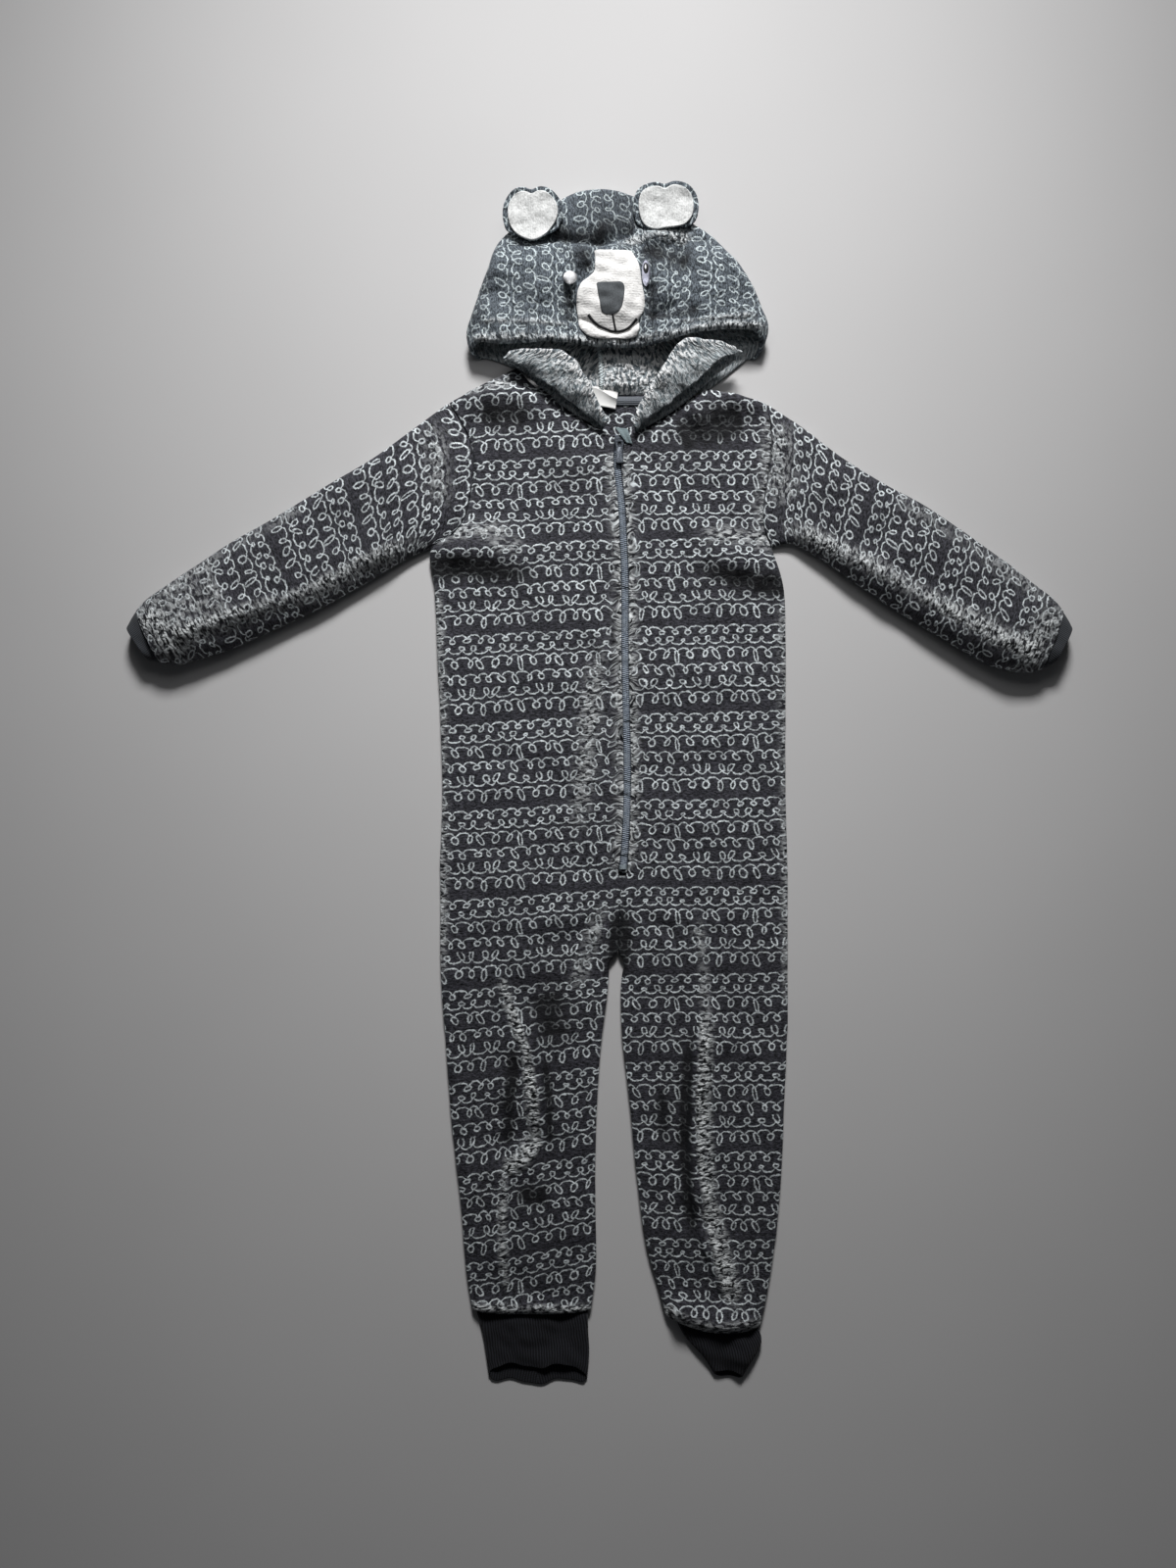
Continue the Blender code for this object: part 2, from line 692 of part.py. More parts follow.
def add_hood_side(name, outline, seam, neck_seam, sign, collection):
    """A side of the hood, folded where it lies on itself."""
    shares = np.linspace(0, 1, SIDE_ROWS)
    grid = np.array([hood_side_row(s, outline, seam, neck_seam, sign) for s in shares])
    return sheet(name, grid, FLEECE, collection, PRINTED_FLEECE)


def add_hood_centre(collection):
    """The strip from the brim over the crown to the nape, between the two sides."""
    columns = []
    for column in range(CENTRE_COLUMNS):
        share = column / (CENTRE_COLUMNS - 1)
        bump = CROWN_BUMP * (1 - (2 * share - 1) ** 2)
        crown = CROWN_Y + bump - FLEECE / 2
        top_end = crown - CROWN_REACH

        def seam_x(y, right, left, share=share):
            start, end = along(right, y) + SEAM / 2, along(left, y) - SEAM / 2
            return start + (end - start) * share

        brim_y = across(BRIM, seam_x(BRIM[0].y, RIGHT_HOOD_SEAM, LEFT_HOOD_SEAM))
        line = []
        for y in np.linspace(brim_y, top_end, CENTRE_UPPER):
            x = seam_x(y, RIGHT_HOOD_SEAM, LEFT_HOOD_SEAM)
            line.append((x, y, hood_height(x, y)))
        upper_z = line[-1][2]
        for angle in half_turn(CENTRE_FOLD):
            y = top_end + CROWN_REACH * math.sin(angle)
            turned = (1 - math.cos(angle)) / 2
            x = seam_x(y, RIGHT_HOOD_SEAM, LEFT_HOOD_SEAM)
            line.append((x, y, upper_z + (FLOOR_MID - upper_z) * turned))
        foot_x = seam_x(RIGHT_NECK_SEAM[0].y, RIGHT_NECK_SEAM, LEFT_NECK_SEAM)
        foot_y = across(HOOD_FOOT, foot_x) + SEAM
        for y in np.linspace(top_end, foot_y, CENTRE_LOWER):
            line.append((seam_x(y, RIGHT_NECK_SEAM, LEFT_NECK_SEAM), y, FLOOR_MID))
        columns.append(line)
    grid = np.array(columns).transpose(1, 0, 2)
    return sheet("hood_centre", grid, FLEECE, collection, PRINTED_FLEECE)


HEM_ROWS = 12
HEM_CURL = 2.3  # the curl's radius at the ridge
HEM_SAG = 8.0


def hood_hem_line(row):
    """A section from the neck seam up to the ridge, round its curl and down to the free edge."""
    seam = np.array([row.seam_x, row.seam_y, row.seam_z])
    ridge = np.array([row.ridge_x, row.ridge_y, row.ridge_z])
    edge = np.array([row.edge_x, row.edge_y, row.edge_z])
    inward = ridge - seam
    inward[2] = 0
    inward /= np.linalg.norm(inward)
    up = np.array([0, 0, 1.0])
    centre = ridge - inward * (HEM_CURL + FLEECE / 2) - up * HEM_CURL
    wall_top = centre - up * HEM_CURL
    wall = [seam + (wall_top - seam) * s - up * HEM_SAG * s * (1 - s) ** 2 for s in (0, 0.35, 0.7)]
    curl = [
        centre + HEM_CURL * (inward * math.sin(angle) - up * math.cos(angle))
        for angle in (0, math.pi / 4, math.pi / 2, 3 * math.pi / 4, math.pi)
    ]
    flap = [curl[-1] + (edge - curl[-1]) * s for s in (0.5, 1.0)]
    return [*wall, *curl, *flap]


def add_hood_front(name, rows, collection):
    """The hood's front beside the neck, with its hem folded outward."""
    track = Track(rows)
    grid = np.array([hood_hem_line(HemRow(*track.at(s))) for s in np.linspace(0, 1, HEM_ROWS)])
    return sheet(name, grid, FLEECE, collection, PRINTED_FLEECE)


PATCH_COLUMNS, FACE_LINES, NOSE_LINES = 10, 14, 7


def add_patch(name, rows, lines, wall, under, collection, finish):
    """A flat piece sewn on the hood's upper layer, over the walls under it."""
    track = Track([(0, r.y, r.right_x, r.left_x) for r in rows])
    grid = np.zeros((lines, PATCH_COLUMNS, 3))
    for index, share in enumerate(np.linspace(0, 1, lines)):
        _, y, right_x, left_x = track.at(share)
        for column, x in enumerate(np.linspace(right_x, left_x, PATCH_COLUMNS)):
            grid[index, column] = (x, y, hood_height(x, y) + under + wall / 2)
    return sheet(name, grid, wall, collection, finish)


EAR_SPOKES, EAR_RINGS, EAR_HUB = 18, 2, 0.06
EAR_SQUARE = 0.9  # below 1 the outline bulges past an ellipse
EAR_FLAT = 0.78  # how far down the ear's lower side is cut, as a share of its half length


def ear_grid(ear, half_wide, half_long, base):
    """Rings of an ear from near its middle to its outline, hollowed a little at the middle."""
    grid = np.zeros((EAR_RINGS + 1, EAR_SPOKES, 3))
    for ring in range(EAR_RINGS + 1):
        reach = EAR_HUB + (1 - EAR_HUB) * ring / EAR_RINGS
        for spoke in range(EAR_SPOKES):
            angle = math.tau * spoke / EAR_SPOKES
            round_x = math.copysign(abs(math.cos(angle)) ** EAR_SQUARE, math.cos(angle))
            x = ear.x + half_wide * reach * round_x
            y = ear.y + half_long * reach * max(math.sin(angle), -EAR_FLAT)
            rise = (y - ear.y + ear.half_long) / (2 * ear.half_long)
            hollow = EAR_HOLLOW * (1 - reach**2)
            grid[ring, spoke] = (x, y, base + (EAR_TIP_Z - EAR_ROOT_Z) * rise - hollow)
    return grid


def add_ear_disc(name, grid, wall, collection, finish):
    """A closed disc of cloth from an ear's rings."""
    spokes = grid.shape[1]
    points = (grid.reshape(-1, 3) * MM).tolist()
    points.append((grid[0].mean(axis=0) * MM).tolist())
    hub = len(points) - 1
    faces = [(hub, spoke, (spoke + 1) % spokes) for spoke in range(spokes)]
    for ring in range(len(grid) - 1):
        low, high = ring * spokes, (ring + 1) * spokes
        for spoke in range(spokes):
            beside = (spoke + 1) % spokes
            faces.append((low + spoke, high + spoke, high + beside, low + beside))
    mesh = bpy.data.meshes.new(name)
    mesh.from_pydata(points, [], faces)
    mesh.shade_smooth()
    item = place(name, mesh, collection, finish)
    solid = item.modifiers.new("Wall", "SOLIDIFY")
    solid.thickness = wall * MM
    solid.offset = 0.0
    return item


def add_ears(collection):
    """Both ears: a printed back with a white lining on it."""
    for side, ear in EARS.items():
        back = ear_grid(ear, ear.half_wide - FLEECE / 2, ear.half_long - FLEECE / 2, EAR_ROOT_Z)
        add_ear_disc(f"ear_{side}", back, FLEECE, collection, PRINTED_FLEECE)
        above = EAR_ROOT_Z + FLEECE / 2 + SEAM + LINING / 2
        front = ear_grid(ear, ear.lining_wide, ear.lining_long, above)
        add_ear_disc(f"ear_lining_{side}", front, LINING, collection, WHITE_FLEECE)


# Neck and zip

NECK_TAPE_WIDE = 8.0
NECK_TAPE_START, NECK_TAPE_END = -33.0, 64.0
NECK_TAPE_INSET = 1.5
NECK_TAPE_POINTS = 14


def add_neck_tape(collection):
    """The tape that covers the seam between the back's neck and the hood."""
    grid = np.zeros((2, NECK_TAPE_POINTS, 3))
    height = FLEECE + SEAM + TAPE / 2
    for column, x in enumerate(np.linspace(NECK_TAPE_START, NECK_TAPE_END, NECK_TAPE_POINTS)):
        y = across(BACK_NECK, x)
        grid[0, column] = (x, y - NECK_TAPE_WIDE - NECK_TAPE_INSET, height)
        grid[1, column] = (x, y - NECK_TAPE_INSET, height)
    return sheet("neck_tape", grid, TAPE, collection, GREY_TAPE)


LABEL_X, LABEL_Y, LABEL_WIDE, LABEL_LONG, LABEL_TURN = 4.5, 341.0, 22.0, 15.0, -9.0
LABEL_FOLD, LABEL_POINTS = 1.1, 5


def add_label(collection):
    """A folded label sewn in the neck seam, lying bare over the tape."""
    low = FLEECE + 2 * SEAM + TAPE + LABEL / 2
    end = -LABEL_LONG / 2
    profile = [(LABEL_LONG / 2, low), (end, low)]
    for angle in half_turn(LABEL_POINTS):
        profile.append((end - LABEL_FOLD * math.sin(angle), low + LABEL_FOLD * (1 - math.cos(angle)) / 2))
    profile += [(end, low + LABEL_FOLD), (LABEL_LONG / 2, low + LABEL_FOLD)]
    turn = math.radians(LABEL_TURN)
    grid = np.zeros((len(profile), 2, 3))
    for index, (y, z) in enumerate(profile):
        for column, x in enumerate((-LABEL_WIDE / 2, LABEL_WIDE / 2)):
            turned_x = LABEL_X + x * math.cos(turn) - y * math.sin(turn)
            turned_y = LABEL_Y + x * math.sin(turn) + y * math.cos(turn)
            grid[index, column] = (turned_x, turned_y, z)
    return sheet("neck_label", grid, LABEL, collection, WHITE_LABEL)


ZIP_ROWS = 16


def add_zip_tape(name, front, collection):
    """A zip tape under the inner edge of one front, reaching the middle of the zip."""
    start, end = front.share_of_row(ZIP_TOP_ROW), front.share_of_row(ZIP_END_ROW)
    below = FLEECE / 2 + SEAM + TAPE / 2
    middle = ZIP_OPEN / 2 - SEAM
    grid = np.zeros((ZIP_ROWS, 4, 3))
    for index, down in enumerate(np.linspace(start, end, ZIP_ROWS)):
        edge = front.point(down, 1.0)
        inner = front.point(down, 1.0, middle)
        for column, extra in enumerate((-ZIP_UNDER, -ZIP_UNDER / 2, 0.0, middle)):
            point = edge + (inner - edge) * extra / middle
            point[2] = edge[2] - below
            grid[index, column] = point
    return sheet(name, grid, TAPE, collection, ZIP_TAPE)


def zip_middle(right, left):
    """The middle of the zip at its hinge, and the height of the tapes' upper faces there."""
    shares = np.linspace(0, 1, 400)
    edges = []
    for front in (right, left):
        points = np.array([front.point(share, 1.0) for share in shares])
        edges.append(points[np.argmin(abs(points[:, 1] - ZIP_HINGE_Y))])
    x = (edges[0][0] + edges[1][0]) / 2
    return x, max(edge[2] for edge in edges) - FLEECE / 2 - SEAM


RIBBON_CORNERS = ((13.5, 313.0), (25.0, 311.5), (29.5, 298.0), (24.0, 299.0))
RIBBON_ROWS, RIBBON_ARCH = 5, 0.8


def add_ribbon(right, left, collection):
    """The pale end of the hood's binding, lying over the top of the zip."""
    _, tape_top = zip_middle(right, left)
    base = tape_top + SLIDER_HIGH + 2 * SEAM
    corners = np.array(RIBBON_CORNERS)
    grid = np.zeros((RIBBON_ROWS, 3, 3))
    for index, down in enumerate(np.linspace(0, 1, RIBBON_ROWS)):
        start = corners[0] + (corners[3] - corners[0]) * down
        end = corners[1] + (corners[2] - corners[1]) * down
        for column, share in enumerate((0.0, 0.5, 1.0)):
            height = base + TAPE / 2 + RIBBON_ARCH * math.sin(math.pi * down)
            grid[index, column] = (*(start + (end - start) * share), height)
    return sheet("zip_ribbon", grid, TAPE, collection, PALE_RIBBON)


def add_slider(right, left, collection, helpers):
    """The slider's body with its bail, and the pull hung on the bail by its eye."""
    x, tape_top = zip_middle(right, left)
    base = tape_top + SEAM
    top = base + SLIDER_HIGH
    body = box_mesh(
        "zip_slider", (SLIDER_WIDE, SLIDER_LONG, SLIDER_HIGH), (0, 0, base + SLIDER_HIGH / 2), 0.8
    )
    slider = place("zip_slider", body, collection, DARK_METAL)
    slider.location.x = x * MM
    slider.location.y += ZIP_HINGE_Y * MM

    bail_high = BAIL_CLEAR + BAIL_BAR + BAIL_ROOT
    bail = helper(
        "bail_block",
        box_mesh("bail_block", (BAIL_WIDE, BAIL_LONG, bail_high), (0, 0, top - BAIL_ROOT + bail_high / 2)),
        helpers,
        slider,
    )
    gap = helper(
        "bail_gap",
        box_mesh(
            "bail_gap",
            (BAIL_WIDE * 2, BAIL_LONG - 2 * BAIL_BAR, BAIL_CLEAR),
            (0, 0, top + BAIL_CLEAR / 2),
        ),
        helpers,
        slider,
    )
    combine(slider, bail, "UNION")
    combine(slider, gap, "DIFFERENCE")

    axis_z = top + BAIL_CLEAR / 2
    plate = box_mesh(
        "zip_pull",
        (PULL_WIDE, PULL_LONG, PULL_THICK),
        (0, PULL_THICK / 2 - PULL_LONG / 2, 0),
        0.3,
    )
    pull = place("zip_pull", plate, collection, DARK_METAL)
    pull.location = (x * MM, slider.location.y, axis_z * MM)
    eye = helper(
        "pull_eye",
        box_mesh(
            "pull_eye",
            (PULL_EYE_WIDE, PULL_EYE_LONG, 2 * PULL_THICK),
            (0, -PULL_THICK / 2 - PULL_EYE_LONG / 2, 0),
        ),
        helpers,
        pull,
    )
    combine(pull, eye, "DIFFERENCE")


def clear_scene():
    """Removes whatever the scene starts with."""
    for item in list(bpy.data.objects):
        bpy.data.objects.remove(item)


def build():
    """Makes every piece of the garment."""
    clear_scene()
    cloth = bpy.data.collections.new(GARMENT)
    helpers = bpy.data.collections.new("cutters")
    for collection in (cloth, helpers):
        bpy.context.scene.collection.children.link(collection)

    right, left = Front(RIGHT_FRONT), Front(LEFT_FRONT)
    add_back(right, left, cloth)
    add_front("front_right", right, cloth)
    add_front("front_left", left, cloth)

    sleeves = (
        ("right", RIGHT_SLEEVE, RIGHT_BINDING, RIGHT_ANKLE, RIGHT_FRONT),
        ("left", LEFT_SLEEVE, LEFT_BINDING, LEFT_ANKLE, LEFT_FRONT),
    )
    for side, sleeve, binding, ankle, front in sleeves:
        grid = tube_grid(sleeve, SLEEVE_RINGS, FLEECE, armhole_of(front))
        sheet(f"sleeve_{side}", grid, FLEECE, cloth, PRINTED_FLEECE, ring=True)
        grid = tube_grid(binding, BINDING_RINGS, BINDING)
        sheet(f"sleeve_binding_{side}", grid, BINDING, cloth, GREY_JERSEY, ring=True)
        grid = tube_grid(ankle, ANKLE_RINGS, RIB)
        sheet(f"ankle_cuff_{side}", grid, RIB, cloth, DARK_RIB, ring=True)

    add_hood_side("hood_right", RIGHT_OUTLINE, RIGHT_HOOD_SEAM, RIGHT_NECK_SEAM, -1, cloth)
    add_hood_side("hood_left", LEFT_OUTLINE, LEFT_HOOD_SEAM, LEFT_NECK_SEAM, 1, cloth)
    add_hood_centre(cloth)
    add_hood_front("hood_front_right", RIGHT_HOOD_HEM, cloth)
    add_hood_front("hood_front_left", LEFT_HOOD_HEM, cloth)
    add_ears(cloth)
    on_hood = FLEECE / 2 + 2 * SEAM
    add_patch("face_patch", FACE_ROWS, FACE_LINES, LINING, on_hood, cloth, WHITE_FLEECE)
    on_patch = on_hood + LINING + SEAM
    add_patch("nose", NOSE_ROWS, NOSE_LINES, FELT, on_patch, cloth, GREY_FELT)

    add_neck_tape(cloth)
    add_label(cloth)
    add_zip_tape("zip_tape_right", right, cloth)
    add_zip_tape("zip_tape_left", left, cloth)
    add_ribbon(right, left, cloth)
    add_slider(right, left, cloth, helpers)


build()
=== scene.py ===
"""A toddler's hooded fleece onesie, laid flat on its back and seen from straight above.

The cloth pieces are grids of places worked out from short tables, with a real wall and rounded edges.
Right and left are the wearer's, so right is -X. Sizes are in millimetres where nothing else is said, and
a mesh is made in metres.
"""

import logging
import math
from dataclasses import dataclass, field
from enum import Enum
from typing import Any, Callable, ClassVar, NamedTuple, Sequence

import bmesh
import bpy
import numpy as np
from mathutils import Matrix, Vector


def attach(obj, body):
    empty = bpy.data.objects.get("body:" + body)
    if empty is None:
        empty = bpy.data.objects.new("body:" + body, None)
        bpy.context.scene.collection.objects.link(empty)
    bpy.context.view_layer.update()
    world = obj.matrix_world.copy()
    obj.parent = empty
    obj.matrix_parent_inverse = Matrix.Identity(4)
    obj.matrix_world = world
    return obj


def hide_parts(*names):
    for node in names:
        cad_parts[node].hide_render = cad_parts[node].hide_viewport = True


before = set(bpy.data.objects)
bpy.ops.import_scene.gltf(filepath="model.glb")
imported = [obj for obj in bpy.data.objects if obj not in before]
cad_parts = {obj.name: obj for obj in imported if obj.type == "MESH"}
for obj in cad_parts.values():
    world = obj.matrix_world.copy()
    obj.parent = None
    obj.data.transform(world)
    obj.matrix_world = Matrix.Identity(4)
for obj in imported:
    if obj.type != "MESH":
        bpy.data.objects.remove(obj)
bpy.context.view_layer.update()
LOG = logging.getLogger("onesie")

MM = 0.001
GARMENT, PULL = "garment", "pull"
CENTRING_Y = 7.9  # moves the tables' places so that the garment's middle is the origin

# Walls
FLEECE, LINING, BINDING, RIB, TAPE, FELT, LABEL = 2.6, 2.0, 1.4, 2.0, 1.0, 1.2, 0.6
SEAM, SEAM_GAP = 0.3, 0.1
FLOOR_MID = FLEECE / 2
FRONT_MID = 1.5 * FLEECE + SEAM
EDGE_ROLL = 14.0
SHOULDER_ROLL = 0.011  # a share of the front's length, over which its folds rise from the shoulder seam

Array, Piece = np.ndarray, bpy.types.Object
Socket, Material = bpy.types.NodeSocket, bpy.types.Material


def listed(kind: type, *cells: Sequence[Any]) -> tuple[Any, ...]:
    """The rows of a table, each from its bare cells."""
    return tuple(kind(*cell) for cell in cells)


# ------------ tables


class BodyRow(NamedTuple):
    """A line across one half of the front, from its armhole or side to its neck, zip or inseam."""

    outer_x: float
    outer_y: float
    inner_x: float
    inner_y: float
    lift: float
    inner_lift: float
    bow: float = 0.0


RIGHT_FRONT = listed(
    BodyRow,
    (-134, 336, -74, 367, 0.3, 0.3), (-120, 313, -55, 347, 1.4, 0.6), (-112, 288, -31, 327, 1.9, 0.8),
    (-113, 266, -8, 315, 2.2, 1.2), (-116, 247, 12.5, 303, 2.6, 1.8), (-120, 232, 11.2, 280, 2.8, 1.9),
    (-129, 219, 14.5, 248, 2.8, 1.9), (-149, 205, 17, 206, 2.6, 1.9), (-147, 171, 18, 171, 2.6, 1.9),
    (-145, 127, 18, 127, 2.8, 1.9), (-142, 60, 19, 60, 2.8, 1.9), (-140, -5, 20, -5, 2.8, 1.9),
    (-141, -50, 18.5, -50, 2.8, 1.9), (-142, -80, 16.5, -78, 2.6, 1.9), (-142, -104, 18.7, -100, 2.4, 1.6),
    (-142, -128, 17, -127, 2.4, 0), (-142, -148, 10, -147, 2.4, 0), (-141, -180, 8, -180, 2.4, 0),
    (-136, -250, 0, -250, 2.6, 0), (-132, -303, -3, -303, 3, 0), (-124, -373, -4, -373, 3, 0),
    (-118, -443, -4, -443, 3, 0), (-113, -474, -8, -474, 2.4, 0, -3),
)
LEFT_FRONT = listed(
    BodyRow,
    (149, 335, 96, 348, 0.3, 0.3), (153, 313, 79, 334, 1.4, 0.6), (153, 290, 60, 321, 1.9, 0.8),
    (150, 268, 42, 311, 2.2, 1.2), (147, 249, 23, 301, 2.6, 1.8), (146, 236, 21.4, 278, 2.8, 1.9),
    (147, 223, 24.6, 247, 2.8, 1.9), (153, 206, 27, 206, 2.6, 1.9), (164, 171, 28, 171, 2.6, 1.9),
    (166, 127, 28, 127, 2.8, 1.9), (166, 60, 29, 60, 2.8, 1.9), (166, -5, 30, -5, 2.8, 1.9),
    (167, -50, 28.5, -50, 2.8, 1.9), (168, -80, 26.5, -78, 2.6, 1.9), (168, -104, 19.4, -100, 2.4, 1.6),
    (168, -128, 20, -127, 2.4, 0), (168, -148, 25, -147, 2.4, 0), (168, -180, 20, -180, 2.4, 0),
    (168, -215, 20, -215, 2.6, 0), (165, -285, 27, -285, 3, 0), (162, -355, 34, -355, 3.2, 0),
    (156, -420, 43, -418, 3.4, 0), (149, -461, 54, -456, 3.4, 0, -3), (143, -489, 60, -478, 2.8, 0, -9.5),
)
ZIP_TOP_ROW, UNDERARM_ROW, ZIP_END_ROW = 4, 7, 13


class TubeRow(NamedTuple):
    """A ring of a sleeve or cuff, by the two edges that it shows from above."""

    upper_x: float
    upper_y: float
    lower_x: float
    lower_y: float
    drop: float
    rise: float
    tilt: float = 0.0
    bow: float = 0.0


RIGHT_SLEEVE = listed(
    TubeRow,
    (-134.5, 336, -149.6, 206, 1.8, 2.4), (-165, 313, -163, 201, 3, 6), (-200, 287, -183, 190, 4, 9),
    (-245, 260, -213, 172, 4.5, 11), (-290, 232, -253, 150, 5, 12.5), (-328, 210, -292, 132, 5.5, 14),
    (-362, 187, -330, 115, 6, 15), (-390, 168, -358, 106, 7, 15), (-403, 158, -377, 101, 8, 14),
    (-411, 149, -389, 103, 8.5, 12),
)
LEFT_SLEEVE = listed(
    TubeRow,
    (149.5, 335, 153.6, 207, 1.8, 2.4), (179, 315, 171, 210, 3, 6), (210, 291, 190, 201, 4, 9),
    (250, 265, 224, 178, 4.5, 11), (290, 243, 260, 153, 5, 12.5), (328, 217, 296, 131, 5.5, 14),
    (362, 192, 331, 110, 6, 15), (390, 170, 360, 97, 7, 15), (403, 159, 381, 94, 8, 14),
    (411, 149, 392, 97, 8.5, 12),
)
RIGHT_BINDING = listed(
    TubeRow,
    (-411, 149, -389.4, 104.4, 8.5, 11), (-416, 141, -395, 104, 8.5, 10.2),
    (-419.5, 134, -400, 105, 8.5, 9.8),
)
LEFT_BINDING = listed(
    TubeRow,
    (411, 149, 392.4, 98.4, 8.5, 11), (416, 141, 398, 99.5, 8.5, 10.2), (419.5, 134, 403, 102, 8.5, 9.8),
)
RIGHT_ANKLE = listed(
    TubeRow,
    (-112, -470, -10, -470, 1.6, 1.6, 0, -3), (-105, -494, -10, -494, 1.8, 2.2, 2),
    (-102, -512, -9, -512, 1.8, 2.2, 6), (-99, -535, -11, -533, 1.8, 2.2, 16),
)
LEFT_ANKLE = listed(
    TubeRow,
    (139.5, -484, 66, -478, 1.6, 2, 0, -9), (145, -504, 77, -499, 3, 4, 2), (138, -518, 91, -514, 3, 4, 4),
    (128, -534, 103, -529, 2.4, 3, 6),
)


class Place(NamedTuple):
    """A place in plan."""

    x: float
    y: float


# Below the crotch, where the legs' inner edges are sewn together
INSEAM = listed(Place, (14, -180), (15.3, -165), (17.5, -148), (18.5, -127))
BACK_NECK = listed(
    Place, (-74, 367), (-45, 352), (-7, 344.5), (17, 343.5), (40, 343.5), (70, 345), (96, 348)
)
HOOD_FOOT = (*listed(Place, (-112, 379), (-92, 374)), *BACK_NECK, *listed(Place, (120, 366), (143, 384)))
BRIM = listed(
    Place,
    (-112, 389), (-96, 385), (-71, 384.5), (-44, 385.5), (-20, 384), (2, 382), (21, 381.5), (39, 383),
    (58, 386), (77, 392), (94, 395), (130, 397), (147, 396),
)
RIGHT_OUTLINE = listed(
    Place,
    (-116, 385), (-118, 395), (-114, 410), (-109, 427), (-100, 451), (-88, 479), (-66, 497), (-46, 509),
)
LEFT_OUTLINE = listed(
    Place,
    (147, 388), (150, 397), (146, 410), (133, 440), (119, 461), (96, 484), (68, 500), (46, 509),
)
RIGHT_HOOD_SEAM = listed(Place, (-22, 382), (-25, 415), (-26, 455), (-32, 485), (-34, 524))
LEFT_HOOD_SEAM = listed(Place, (46, 382), (47, 415), (45, 455), (38, 485), (34, 524))
RIGHT_NECK_SEAM = listed(Place, (2, 343), (1, 374), (-33, 490), (-34, 524))
LEFT_NECK_SEAM = listed(Place, (60, 343), (37.5, 490), (34, 524))
HOOD_TOP_Y = 509.0
CROWN_Y, CROWN_BUMP, CROWN_REACH, FOLD_REACH = 514.0, 10.0, 9.0, 13.0


class Height(NamedTuple):
    """How high the hood's upper layer stands at one distance up it."""

    y: float
    z: float


HOOD_HEIGHTS = listed(
    Height,
    (380, 26), (395, 27), (430, 27.5), (455, 27.5), (472, 20.5), (490, 20.5), (510, 18.5), (526, 15.5),
)


class HemRow(NamedTuple):
    """A section of the hood's front, which stands up from the neck seam and folds outward."""

    seam_x: float
    seam_y: float
    ridge_x: float
    ridge_y: float
    edge_x: float
    edge_y: float
    seam_z: float
    ridge_z: float
    edge_z: float


RIGHT_HOOD_HEM = listed(
    HemRow,
    (3, 311.5, 8, 317, 4, 312.5, 4.2, 14.5, 11), (-6, 317, 1, 329, -6, 319.5, 4.2, 18.5, 14),
    (-18, 323, -6, 343, -17, 327, 4.2, 22, 14), (-32, 332.5, -14, 357, -30, 337, 4.2, 24, 15),
    (-44, 343, -22, 369, -43, 347, 4.2, 25, 16), (-56, 352.5, -37, 377, -57, 355.5, 4.6, 25.5, 17),
    (-68, 363.5, -57, 377, -70, 364.5, 6.5, 25, 20.5), (-84, 371.5, -78, 376, -85, 370.5, 12.5, 23.5, 20),
)
LEFT_HOOD_HEM = listed(
    HemRow,
    (32, 308.5, 31, 314, 33, 309.5, 4.2, 14.5, 11), (43, 315, 34, 328, 42, 319, 4.2, 18.5, 14.5),
    (54, 321, 43, 343, 54, 327, 4.2, 22, 14.5), (66, 328.5, 53, 357, 67, 336.5, 4.2, 24, 16.5),
    (77, 336.5, 62, 373, 80, 347, 4.2, 25, 17.5), (88, 345.5, 75, 386, 93, 357, 4.6, 25.5, 19),
    (98, 354.5, 91, 386, 104, 367, 7, 25, 22), (122, 372, 119, 381, 126, 376, 12.5, 23.5, 21),
)


class PatchRow(NamedTuple):
    """A line across a piece sewn on the hood, from right to left."""

    y: float
    right_x: float
    left_x: float


FACE_ROWS = listed(
    PatchRow,
    (386.5, 3, 22), (388.2, -7, 30), (392, -14, 34.2), (397, -18, 35), (402, -18.6, 34.5), (409, -19.5, 38),
    (420, -19.8, 39.3), (428, -18.4, 38), (434, -15, 36.8), (438.5, -9, 36.2), (443, -5, 35.6),
    (450, -4, 34), (457, -3.8, 31), (462, -4.5, 28),
)
NOSE_ROWS = listed(
    PatchRow,
    (405.6, 6, 11.5), (407.2, 2.8, 15.6), (410.8, 1, 18.8), (416.4, 0, 20.6), (423.4, -1.4, 21.6),
    (430, -2.4, 21.4), (432, -2.6, 20.2), (433.2, -1.6, 18),
)


class Side(Enum):
    """The wearer's two sides, by the sign of X."""

    RIGHT = -1
    LEFT = 1

    @property
    def word(self) -> str:
        """The side's name in lower case."""
        return self.name.lower()


# ------------ lines and relief


def distances(points: Array, axis: int = 0) -> Array:
    """How far each place is from the first, going through the places of a grid along an axis."""
    steps = np.linalg.norm(np.diff(points, axis=axis), axis=-1)
    return np.concatenate([np.zeros_like(np.take(steps, [0], axis)), np.cumsum(steps, axis)], axis)


